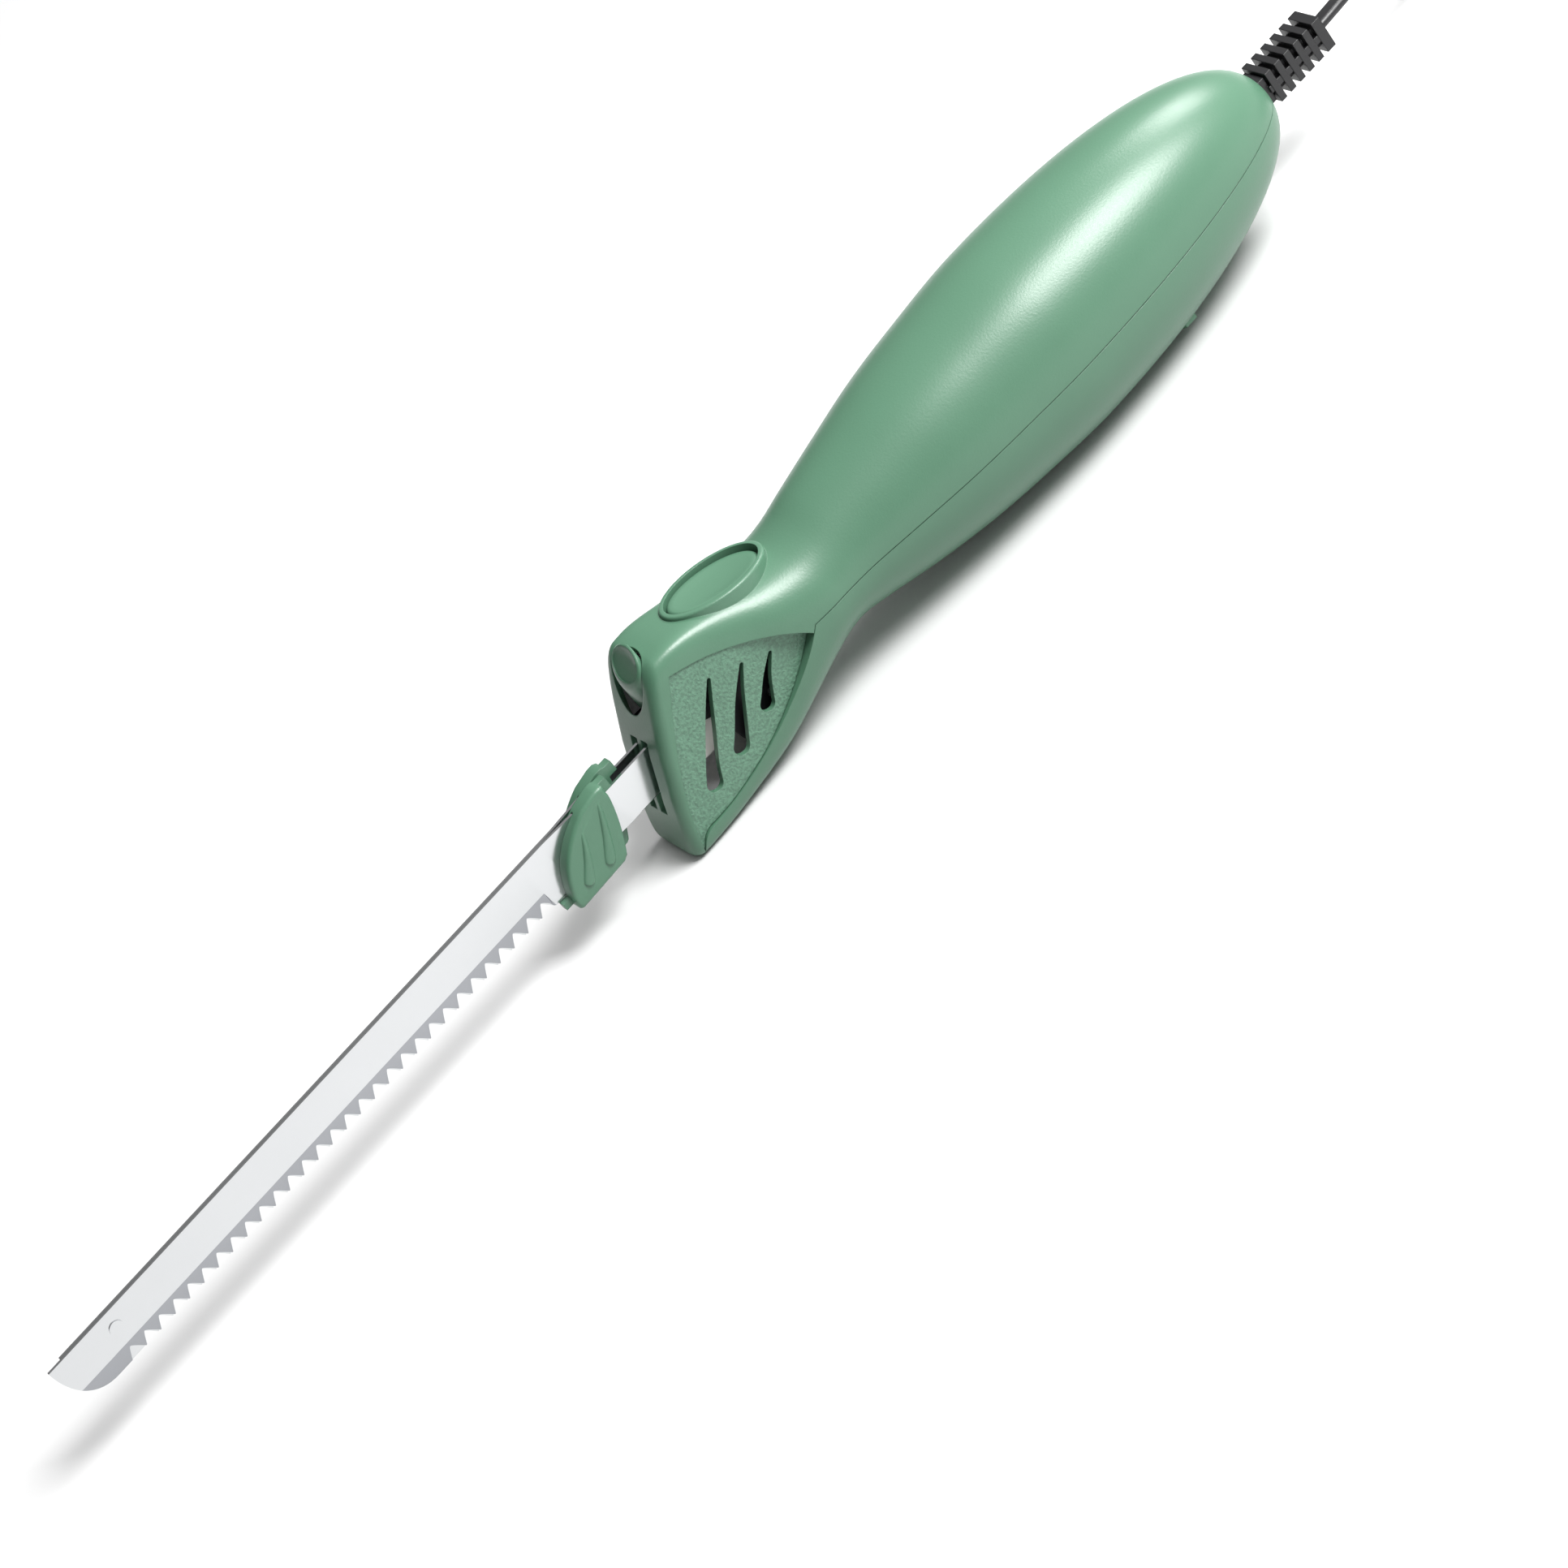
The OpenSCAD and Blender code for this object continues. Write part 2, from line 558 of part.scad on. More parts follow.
module tip_rivet() knife() color(steel) union() {
    rivet_rod(-1.4, 1.35, 1.45);
    rivet_rod(-1.4, -1.1, 2.6);
    rivet_rod(1.06, 1.4, 2.2);
}

// ---- Guard halves ----
guard_side = concat([[12.1, 5.3]], curve([[12.1, 5.3], [12.4, -1], [16, -10], [19.8, -16.4]], 8),
    [[20.7, -16.9], [37.4, -17.5], [38.4, -16.7], [38.6, -14.7]],
    curve([[38.6, -14.7], [37, -8], [33, 0], [20.8, 4.8]], 8), [[15.3, 5.9]]);
guard_ribs = [[[16.2, 2.3, 0.5], [19.4, -4.5, 1.1], [24.4, -13.6, 1.6]],
    [[24.8, -0.3, 0.5], [27.6, -6, 1.1], [32.6, -13.4, 1.6]]];
module guard_half() difference() {
    union() {
        side_plate(0.3, 5.6) polygon(guard_side);
        for (r = guard_ribs, i = [0:1]) hull() {
            guard_dot(r[i]);
            guard_dot(r[i + 1]);
        }
        box([36, 0.3, -15.6], [41, 2.6, -13.4]);
        box([9.6, 0.3, 1.9], [14, 3.2, 5.4]);
    }
    translate([0, 0, -13.1]) linear_extrude(17.2) polygon(blade_plan(0.03));
    box([5, -1, -13.1], [12.4, 3.2, 1.8]);
}
module guard_dot(p) translate([p[0], 6.2, p[1]]) rotate([90, 0, 0]) cylinder(r = p[2], h = 2, $fn = 16);
module left_guard() knife() color(green) guard_half();
module right_guard() knife() color(green) mirror([0, 1, 0]) translate([-stroke, 0, 0]) guard_half();

// ---- Fasteners and leads inside the shells ----
module housing_screws() knife() color(steel) for (p = posts) {
    post(p, p[2], p[2] + p[4], screw_r - 0.02);
    post(p, p[2] - 1.8, p[2], screw_head_r);
}
module cord_clamp() knife() color(black) difference() {
    union() {
        box([clamp_x - 3, -9.8, cord_t / 2 + 0.05], [clamp_x + 3, 9.8, 4]);
        both_sides() box([clamp_x - 3, 4, -2], [clamp_x + 3, 9.8, 2]);
    }
    both_sides() translate([clamp_x, 7, -5]) cylinder(r = clamp_screw_r + 0.05, h = 12);
}
module clamp_screws() knife() color(steel) both_sides() translate([clamp_x, 7, 0]) {
    translate([0, 0, -11.5]) cylinder(r = clamp_screw_r, h = 15.5);
    translate([0, 0, 4]) cylinder(r = 2.4, h = 1.6);
}
function inner_r(x) = section(x, wall)[0];
lead_path = concat([[-50.4, 6, 5.8], [-54, 9.4, 5.4], [-60, 13.2, 5.3], [-66, 15.0, 5.3]],
    [for (x = [-74:-9:-212]) [x, (inner_r(x) - 1.1) * cos(18), (inner_r(x) - 1.1) * sin(18)]],
    [[-220, 20.4, 6.2], [-226, 17, 5.4], [-230.5, 10.5, 3.8], [-232, 5, 2.4], [-231.4, 1.6, 2.3]]);
function unit(v) = v / norm(v);
function heading(p, i) = unit(p[min(i + 1, len(p) - 1)] - p[max(i - 1, 0)]);
// Rings of a swept section; its first coordinate lies level, across the path
function swept(p, s) = [for (i = [0:len(p) - 1]) let(
    t = heading(p, i), a = unit(cross([0, 0, 1], t)), b = cross(t, a))
    for (q = s) p[i] + a * q[0] + b * q[1]];
function circle_pts(r, n) = [for (j = [0:n - 1]) [r * cos(360 * j / n), r * sin(360 * j / n)]];
module sweep(p, s) tube([for (v = swept(p, s)) v], len(p), len(s));
module switch_leads() knife() color(black) both_sides() sweep(lead_path, circle_pts(0.7, 8));

// ---- Cord ----
rib_pitch = (relief_len - 2.2) / 5.73;
module strain_relief() knife() color(black) difference() {
    union() {
        box([relief_end_x, -3.4, -3.2], [tail_x + 4, 3.4, 3.2]);
        box([relief_end_x, -5.2, -1.1], [tail_x - 1, 5.2, 1.1]);
        for (i = [0:5]) let(x = tail_x - 3 - i * rib_pitch)
            box([i == 5 ? relief_end_x : x - 1.1, -5.4, -5.25], [x + 1.1, 5.4, 5.25]);
        box([tail_x - 1.5, -4.2, -4.2], [tail_x + 7, 4.2, 4.2]);
        box([tail_x + 4, -5.6, -5.6], [tail_x + 7, 5.6, 5.6]);
    }
    box([relief_end_x - 1, -cord_w / 2 - 0.08, -cord_t / 2 - 0.08],
        [tail_x + 20, cord_w / 2 + 0.08, cord_t / 2 + 0.08]);
}
// Flat twin section with round edges
flat_twin = let(r = cord_t / 2, f = cord_w / 2 - r) concat(
    [for (a = [-90:36:90]) [f + r * cos(a), r * sin(a)]],
    [for (a = [90:36:270]) [-f + r * cos(a), r * sin(a)]]);
coil_at = [-346, 10.9];
coil_r = [35.1, 29.5, 23.9];
coil_in = coil_r[2] - 2.8;
coil_out = coil_r[0] + 2.8;
// Fall of the cord behind the relief, offsets from its mouth
fall = [[0, 0, 0], [-8, -0.5, 0], [-16, -2, -0.7], [-24, -5, -3], [-32, -9, -7.5], [-40, -13, -13.5],
    [-48, -17, -19.5], [-56, -20.5, -24.4], [-64, -23, -27.2], [-73, -24, -29], [-80, -24.2, -29.6],
    [-86, -24.2, -29.6]];
function spline(p, n) = concat([for (i = [0:len(p) - 2], k = [0:n - 1]) let(
    a = p[max(i - 1, 0)], b = p[i], c = p[i + 1], d = p[min(i + 2, len(p) - 1)], u = k / n)
    0.5 * (2 * b + (c - a) * u + (2 * a - 5 * b + 4 * c - d) * u ^ 2 + (3 * b - a - 3 * c + d) * u ^ 3)],
    [p[len(p) - 1]]);
mouth = [relief_end_x - mid_x, 0, handle_r];
module power_cord() color(black) sweep(
    concat([[-232.6 - mid_x, 0, handle_r], [-250 - mid_x, 0, handle_r]],
        spline([for (q = fall) mouth + q], 3)), flat_twin);
module cord_coil() color(black) translate([coil_at[0], coil_at[1], 0]) rotate_extrude($fn = 72)
    polygon([[coil_in, 1.4], [coil_in + 0.6, 0.3], [coil_in + 1.6, 0], [coil_out - 1.6, 0],
        [coil_out - 0.6, 0.3], [coil_out, 1.4], [coil_out, 7], [coil_out - 0.6, 8.2],
        [coil_out - 1.6, 8.6], [coil_in + 1.6, 8.6], [coil_in + 0.6, 8.2], [coil_in, 7]]);
plug_x = [-432, -398];
plug_z = 7;
lead_y = coil_at[1] - coil_r[0];
module plug_lead() color(black) sweep([for (i = [0:12]) let(u = i / 12)
    [-350 + (plug_x[1] - 4 + 350) * u, lead_y, plug_z - 3.2 * sin(180 * u) ^ 2]], flat_twin);
module plug_body() color(black) translate([0, lead_y, 0]) difference() {
    union() {
        side_plate(-10, 10) polygon([[plug_x[0], 0], [plug_x[0], 14], [-416, 14], [-410, 11.5],
            [-402, 10.4], [plug_x[1], 10.4], [plug_x[1], 3.6], [-402, 3.6], [-410, 2.5], [-416, 0]]);
        box([plug_x[0], -13, 0.6], [plug_x[0] + 4, 13, 13.4]);
    }
    box([plug_x[1] - 5, -cord_w / 2 - 0.05, plug_z - cord_t / 2 - 0.05],
        [plug_x[1] + 3, cord_w / 2 + 0.05, plug_z + cord_t / 2 + 0.05]);
}
module plug_pins() color(steel) both_sides_at(lead_y) box([plug_x[0] - 17.5, 5.6, plug_z - 3.15],
    [plug_x[0], 7.1, plug_z + 3.15]);
module both_sides_at(y) translate([0, y, 0]) both_sides() children();

upper_shell();
lower_shell();
run_button();
button_spring();
release_plunger();
plunger_spring();
lock_slider();
switch_body();
stator_core();
field_coils();
front_bearing();
rear_bearing();
front_motor_bracket();
rear_motor_bracket();
motor_screws();
brush_holders();
carbon_brushes();
motor_shaft();
rotor_core();
rotor_windings();
commutator();
cooling_fan();
worm();
gear_frame();
gear_axle();
worm_gear();
drive_cams();
left_drive_slide();
right_drive_slide();
left_latch();
right_latch();
left_blade();
right_blade();
tip_rivet();
left_guard();
right_guard();
housing_screws();
cord_clamp();
clamp_screws();
switch_leads();
strain_relief();
power_cord();
cord_coil();
plug_lead();
plug_body();
plug_pins();
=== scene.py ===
from math import cos, pi, sin, sqrt

import bmesh
import bpy
from mathutils import Matrix, Vector
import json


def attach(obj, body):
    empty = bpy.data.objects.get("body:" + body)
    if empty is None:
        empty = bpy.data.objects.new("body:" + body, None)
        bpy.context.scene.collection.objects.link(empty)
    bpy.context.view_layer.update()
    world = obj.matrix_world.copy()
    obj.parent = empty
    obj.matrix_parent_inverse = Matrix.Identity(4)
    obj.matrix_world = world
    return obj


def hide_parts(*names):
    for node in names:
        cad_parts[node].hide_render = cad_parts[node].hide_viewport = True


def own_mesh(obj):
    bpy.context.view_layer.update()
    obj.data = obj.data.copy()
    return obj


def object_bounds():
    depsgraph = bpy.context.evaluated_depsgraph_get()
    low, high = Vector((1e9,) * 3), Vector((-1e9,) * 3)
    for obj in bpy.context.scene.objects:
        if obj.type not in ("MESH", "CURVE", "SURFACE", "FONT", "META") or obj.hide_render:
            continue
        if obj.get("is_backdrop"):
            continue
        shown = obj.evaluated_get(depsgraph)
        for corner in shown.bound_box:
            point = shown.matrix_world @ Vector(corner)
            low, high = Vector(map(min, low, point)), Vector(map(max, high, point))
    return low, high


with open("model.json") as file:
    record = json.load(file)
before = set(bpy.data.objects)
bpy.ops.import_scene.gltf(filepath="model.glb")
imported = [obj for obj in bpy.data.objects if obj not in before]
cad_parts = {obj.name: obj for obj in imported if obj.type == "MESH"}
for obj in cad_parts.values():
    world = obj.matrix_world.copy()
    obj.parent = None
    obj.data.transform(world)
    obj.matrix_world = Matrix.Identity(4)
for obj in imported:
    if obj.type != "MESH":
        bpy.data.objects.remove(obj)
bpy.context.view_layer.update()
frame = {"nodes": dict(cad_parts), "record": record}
MM = 0.001

# The head's front reference point on the grip's axis, in the row frame (mm): shapes are laid out from it.
ORIGIN = Vector((30.0, 0.0, 31.0))


def to_world(points):
    """Points measured from the head's reference, in mm, as row-frame points in metres."""
    return [(Vector(p) + ORIGIN) * MM for p in points]


# ---------------------------------------------------------------- camera
CAMERA_AT = Vector((0.2421, 1.0625, 0.7444))
CAMERA_RIGHT = Vector((-0.671, 0.524, -0.524))
CAMERA_BACK = Vector((0.181, 0.802, 0.570))
CAMERA_ROLL = -0.4 * pi / 180
LENS_MM = 110.6


def make_camera():
    back = CAMERA_BACK.normalized()
    up = back.cross(CAMERA_RIGHT.normalized()).normalized()
    right = up.cross(back)
    data = bpy.data.cameras.new("camera")
    data.lens = LENS_MM
    data.sensor_width = 36
    data.clip_start = 0.05
    data.clip_end = 20
    camera = bpy.data.objects.new("camera", data)
    bpy.context.collection.objects.link(camera)
    turn = Matrix((right, up, back)).transposed().to_4x4() @ Matrix.Rotation(CAMERA_ROLL, 4, "Z")
    camera.matrix_world = Matrix.Translation(CAMERA_AT) @ turn
    bpy.context.scene.camera = camera


make_camera()


# ---------------------------------------------------------------- mesh helpers
def new_object(name, verts, faces, smooth=True):
    mesh = bpy.data.meshes.new(name)
    mesh.from_pydata([tuple(v) for v in verts], [], faces)
    mesh.validate()
    if smooth:
        mesh.shade_smooth()
    piece = bpy.data.objects.new(name, mesh)
    bpy.context.collection.objects.link(piece)
    return piece


def tube_faces(rings, m, caps=True):
    """Faces over rings of m points each, closed at both ends unless caps is off."""
    faces = []
    for i in range(rings - 1):
        for j in range(m):
            a, b = i * m + j, i * m + (j + 1) % m
            faces.append((a, b, b + m, a + m))
    if caps:
        faces.append(tuple(range(m - 1, -1, -1)))
        faces.append(tuple((rings - 1) * m + j for j in range(m)))
    return faces


def swept(name, path, section, up=Vector((0, 0, 1))):
    """A closed tube: the section's first coordinate lies level, across the path."""
    verts = []
    for i, point in enumerate(path):
        heading = (path[min(i + 1, len(path) - 1)] - path[max(i - 1, 0)]).normalized()
        across = up.cross(heading).normalized()
        over = heading.cross(across)
        verts += [point + across * a + over * b for a, b in section]
    return new_object(name, verts, tube_faces(len(path), len(section)))


def spline(points, steps):
    """Smooth curve through the points."""
    out = []
    for i in range(len(points) - 1):
        a, b = points[max(i - 1, 0)], points[i]
        c, d = points[i + 1], points[min(i + 2, len(points) - 1)]
        for k in range(steps):
            u = k / steps
            out.append(0.5 * (2 * b + (c - a) * u + (2 * a - 5 * b + 4 * c - d) * u * u
                              + (3 * b - a - 3 * c + d) * u ** 3))
    return out + [points[-1]]


# ---------------------------------------------------------------- cord
CORD_W, CORD_T = 5.4, 2.8
MOUTH = Vector((-254.0, 0.0, 31.0))
FALL = [(0, 0, 0), (-8, -0.5, 0), (-16, -2, -0.7), (-24, -5, -3), (-32, -9, -7.5), (-40, -13, -13.5),
        (-48, -17, -19.5), (-56, -20.5, -24.4), (-64, -23, -27.2), (-73, -24, -29), (-80, -24.2, -29.6),
        (-86, -24.2, -29.6)]
COIL_AT = Vector((-346.0, 10.9, 0.0))
COIL_R = (35.1, 29.5, 23.9)
TURNS = [(COIL_R[0], 1.4), (COIL_R[1], 1.4), (COIL_R[2], 1.4), (COIL_R[2], 4.2), (COIL_R[1], 4.2),
         (COIL_R[0], 4.2), (COIL_R[0], 7.0)]
PLUG_BACK, PLUG_Z = -398.0, 7.0
LEAD_IN_PLUG, LEAD_SAG, LEAD_STEPS = 4, 3.2, 12
CORE_DIP = 0.72  # height of the groove between the cores, as a share of their radius


def coil_path(steps=48, shift=0.14):
    """Turns wound clockwise; each goes over to the next one's radius and layer near its end."""
    out = []
    for k, (r, z) in enumerate(TURNS):
        r2, z2 = TURNS[k + 1] if k + 1 < len(TURNS) else (r, z)
        for i in range(steps):
            u = i / steps
            w = max(0.0, (u - 1 + shift) / shift)
            w = w * w * (3 - 2 * w)
            angle = -pi / 2 - 2 * pi * u
            rr, zz = r + (r2 - r) * w, z + (z2 - z) * w
            out.append(COIL_AT + Vector((rr * cos(angle), rr * sin(angle), zz)))
    return out


def flat_twin():
    """Two round cores side by side with a shallow groove between them."""
    r = CORD_T / 2
    f = CORD_W / 2 - CORD_T / 2
    right = [(f + r * cos(a), r * sin(a)) for a in [(-90 + 22.5 * i) * pi / 180 for i in range(9)]]
    left = [(-f + r * cos(a), r * sin(a)) for a in [(90 + 22.5 * i) * pi / 180 for i in range(9)]]
    return right + [(0, r * CORE_DIP)] + left + [(0, -r * CORE_DIP)]


def cord_points():
    """The whole route in metres: down from the grip, round the coil, and straight to the plug."""
    lead_y = COIL_AT.y - COIL_R[0]
    route = spline([MOUTH + Vector(q) for q in FALL], 4)[:-1]
    route += coil_path()
    end = PLUG_BACK - LEAD_IN_PLUG
    start = COIL_AT.x
    for i in range(LEAD_STEPS + 1):
        u = i / LEAD_STEPS
        route.append(Vector((start + (end - start) * u, lead_y, PLUG_Z - LEAD_SAG * sin(pi * u) ** 2)))
    return [p * MM for p in route]


route = cord_points()
cord = swept("cord", route, [(a * MM, b * MM) for a, b in flat_twin()])
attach(cord, "housing")
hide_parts("power_cord", "cord_coil", "plug_lead")


# ---------------------------------------------------------------- materials
def principled(name, colour, rough, metal=0.0):
    material = bpy.data.materials.new(name)
    material.use_nodes = True
    shader = material.node_tree.nodes["Principled BSDF"]
    shader.inputs["Base Color"].default_value = (*colour, 1)
    shader.inputs["Roughness"].default_value = rough
    shader.inputs["Metallic"].default_value = metal
    return material, material.node_tree, shader


BROAD_SCALE = 45
BUMP_STRENGTH = 0.8
# The part of the grain's range over which a speckle turns from dark to light
SPECKLE_FROM, SPECKLE_TO = 0.38, 0.62


def textured(name, colour, rough, metal=0.0, grain=900, stretch=(1, 1, 1), relief=0.00002,
             mottle=0.06, rough_range=0.08, rounding=0.0, speckle=0.0):
    """A finish whose colour, roughness and surface vary with a fine grain and a broad mottle.

    grain is in cycles a metre; relief and rounding, of the surface and of the edges, are in metres."""
    material, tree, shader = principled(name, colour, rough, metal)
    nodes, links = tree.nodes, tree.links
    place = nodes.new("ShaderNodeTexCoord")
    scale = nodes.new("ShaderNodeMapping")
    scale.inputs["Scale"].default_value = stretch
    links.new(place.outputs["Object"], scale.inputs["Vector"])
    fine = nodes.new("ShaderNodeTexNoise")
    fine.inputs["Scale"].default_value = grain
    fine.inputs["Detail"].default_value = 3
    links.new(scale.outputs["Vector"], fine.inputs["Vector"])
    broad = nodes.new("ShaderNodeTexNoise")
    broad.inputs["Scale"].default_value = BROAD_SCALE
    broad.inputs["Detail"].default_value = 4
    links.new(place.outputs["Object"], broad.inputs["Vector"])
    ramp = nodes.new("ShaderNodeMapRange")
    ramp.inputs["To Min"].default_value = rough - rough_range
    ramp.inputs["To Max"].default_value = rough + rough_range
    links.new(fine.outputs["Fac"], ramp.inputs["Value"])
    links.new(ramp.outputs["Result"], shader.inputs["Roughness"])
    mix = nodes.new("ShaderNodeMixRGB")
    mix.inputs["Color1"].default_value = (*[c * (1 - mottle) for c in colour], 1)
    mix.inputs["Color2"].default_value = (*[min(1, c * (1 + mottle)) for c in colour], 1)
    links.new(broad.outputs["Fac"], mix.inputs["Fac"])
    if speckle:
        spots = nodes.new("ShaderNodeMapRange")
        spots.inputs["From Min"].default_value = SPECKLE_FROM
        spots.inputs["From Max"].default_value = SPECKLE_TO
        spots.inputs["To Min"].default_value = 1 - speckle
        spots.inputs["To Max"].default_value = 1 + speckle
        links.new(fine.outputs["Fac"], spots.inputs["Value"])
        tint = nodes.new("ShaderNodeVectorMath")
        tint.operation = "SCALE"
        links.new(mix.outputs["Color"], tint.inputs[0])
        links.new(spots.outputs["Result"], tint.inputs["Scale"])
        links.new(tint.outputs["Vector"], shader.inputs["Base Color"])
    else:
        links.new(mix.outputs["Color"], shader.inputs["Base Color"])
    bump = nodes.new("ShaderNodeBump")
    bump.inputs["Distance"].default_value = relief
    bump.inputs["Strength"].default_value = BUMP_STRENGTH
    links.new(fine.outputs["Fac"], bump.inputs["Height"])
    if rounding:
        bevel = nodes.new("ShaderNodeBevel")
        bevel.samples = 4
        bevel.inputs["Radius"].default_value = rounding
        links.new(bevel.outputs["Normal"], bump.inputs["Normal"])
    links.new(bump.outputs["Normal"], shader.inputs["Normal"])
    return material


# Colour, roughness, and whatever differs from a plain plastic
FINISHES = {
    "green_shell": ((0.068, 0.160, 0.100), 0.34,
                    {"grain": 1500, "relief": 0.00004, "mottle": 0.04, "rough_range": 0.04,
                     "rounding": 0.0004}),
    "green_spark": ((0.085, 0.180, 0.120), 0.42,
                    {"grain": 1150, "relief": 0.0005, "mottle": 0.05, "rounding": 0.0003, "speckle": 0.16}),
    "green_slider": ((0.10, 0.22, 0.14), 0.45, {"grain": 2200, "relief": 0.00001, "rounding": 0.0004}),
    "stainless": ((0.66, 0.67, 0.68), 0.2,
                  {"metal": 1, "grain": 700, "stretch": (0.06, 1, 1), "relief": 0.000002, "mottle": 0.02,
                   "rough_range": 0.05}),
    # The ground bevels' steel: real grinding grain along the edge, and a darker grey that is painted shade,
    # standing in for the shade that falls on the bevels.
    "ground_steel_and_painted_shade": ((0.36, 0.37, 0.39), 0.18,
                   {"metal": 1, "grain": 900, "stretch": (1, 1, 0.06), "relief": 0.000003, "mottle": 0.03,
                    "rough_range": 0.05}),
    "steel": ((0.60, 0.61, 0.63), 0.32,
              {"metal": 1, "grain": 900, "stretch": (0.2, 1, 1), "relief": 0.000004, "rounding": 0.0002}),
    "spring_steel": ((0.50, 0.51, 0.54), 0.28, {"metal": 1, "grain": 1500, "relief": 0.000002}),
    "iron_core": ((0.20, 0.20, 0.21), 0.5,
                  {"metal": 0.9, "grain": 1400, "stretch": (1, 0.02, 0.02), "relief": 0.00006}),
    "copper": ((0.62, 0.27, 0.12), 0.3,
               {"metal": 0.9, "grain": 1000, "stretch": (0.05, 1, 1), "relief": 0.00012, "mottle": 0.1}),
    "bronze": ((0.56, 0.38, 0.17), 0.38,
               {"metal": 1, "grain": 1800, "relief": 0.00001, "rounding": 0.0002}),
    "carbon": ((0.03, 0.03, 0.03), 0.7, {"grain": 2500, "relief": 0.00002, "rounding": 0.0002}),
    "black_plastic": ((0.012, 0.012, 0.014), 0.42, {"grain": 1800, "relief": 0.00001, "rounding": 0.0003}),
    "pom": ((0.80, 0.80, 0.75), 0.38,
            {"grain": 1600, "relief": 0.000005, "mottle": 0.02, "rounding": 0.0003}),
    "black_pvc": ((0.006, 0.006, 0.007), 0.38, {"grain": 1200, "relief": 0.000012, "rounding": 0.0004}),
    "plated": ((0.83, 0.83, 0.84), 0.16,
               {"metal": 1, "grain": 900, "relief": 0.000002, "rounding": 0.0002}),
}
MATERIALS = {name: textured(name, colour, rough, **more)
             for name, (colour, rough, more) in FINISHES.items()}


def finish_with(piece, *names):
    piece.data.materials.clear()
    for name in names:
        piece.data.materials.append(MATERIALS[name])


def carry_over_cad_nodes():
    """Every CAD node that still shows takes the scene's finish for its slot."""
    for part in frame["record"]["subparts"]:
        node = frame["nodes"][part["node"]]
        for slot in node.material_slots:
            slot.material = MATERIALS[part["material_slot"]]


finish_with(cord, "black_pvc")

# ---------------------------------------------------------------- body outline
HANDLE_R, BELLY_X, TAIL_LEN, WALL = 31.0, 163.0, 96.0, 2.5
HEAD_W, HEAD_TOP, FRONT_X, NOSE_R = 12.8, 24.3, -3.2, 3.5
HEAD_START = 8.5  # where the even rings begin, behind the rounded front edge
HEAD_BOW = 0.0078  # how far the raked front bows, for each mm squared off the axis
TAIL_POWERS = (2.1, 2.45)
# x, half width, top, bottom, squareness of the section, rake
STATIONS = [
    (FRONT_X, HEAD_W, HEAD_TOP, HANDLE_R, 9, 0.45),
    (-12, HEAD_W + 0.4, HEAD_TOP + 0.3, HANDLE_R, 8, 0.43),
    (-25, 14.0, 23.1, 30.4, 5.4, 0.36),
    (-40, 16.2, 20.8, 27.8, 3.6, 0.20),
    (-52, 18.7, 18.6, 23.2, 2.6, 0.08),
    (-64, 20.2, 17.6, 19.0, 2.1, 0),
    (-72, 20.3, 18.6, 18.0, 2, 0),
    (-81, 21.0, 20.9, 19.9, 2, 0),
    (-99, 24.3, 24.3, 24.2, 2, 0),
    (-117, 27.4, 27.4, 27.3, 2, 0),
    (-135, 29.3, 29.3, 29.3, 2, 0),
    (-BELLY_X, HANDLE_R, HANDLE_R, HANDLE_R, 2, 0)]
LAST = len(STATIONS) - 1


def slope(i, k):
    """The k-th measure's slope at a station, level at the grip's widest point."""
    if i == LAST:
        return 0
    a, b = STATIONS[max(i - 1, 0)], STATIONS[min(i + 1, LAST)]
    return (b[k] - a[k]) / (b[0] - a[0])


def hermite(i, k, x):
    """The k-th measure at x, on a smooth curve between stations i and i + 1."""
    x0 = STATIONS[i][0]
    h = STATIONS[i + 1][0] - x0
    u = (x - x0) / h
    return (STATIONS[i][k] * (2 * u ** 3 - 3 * u ** 2 + 1) + STATIONS[i + 1][k] * (3 * u ** 2 - 2 * u ** 3)
            + h * slope(i, k) * (u ** 3 - 2 * u ** 2 + u) + h * slope(i + 1, k) * (u ** 3 - u ** 2))


def section(x, inset):
    """Half width, top, bottom, squareness and rake at x, inset by a wall."""
    if x <= -BELLY_X:
        along = min(1.0, (-x - BELLY_X) / (TAIL_LEN - inset))
        r = (HANDLE_R - inset) * max(0.0, 1 - along ** TAIL_POWERS[0]) ** (1 / TAIL_POWERS[1])
        return [r, r, r, 2, 0]
    i = 0
    while i < LAST - 1 and x <= STATIONS[i + 1][0]:
        i += 1
    w, top, low, n, rake = (hermite(i, k, x) for k in range(1, 6))
    return [w - inset, top - inset, low - inset, n, rake]


def power(v, e):
    """v to the power e, keeping its sign."""
    return (1 if v >= 0 else -1) * abs(v) ** e


def ring(x, s, sides):
    """A section's outline: a squared oval, leaning back with its rake."""
    points = []
    for i in range(sides):
        a = 2 * pi * i / sides
        c = 0.0 if abs(cos(a)) < 1e-9 else cos(a)
        d = 0.0 if abs(sin(a)) < 1e-9 else sin(a)
        z = (s[1] if d >= 0 else s[2]) * power(d, 2 / s[3])
        points.append((x - s[4] * (z + HEAD_BOW * z * z), s[0] * power(c, 2 / s[3]), z))
    return points


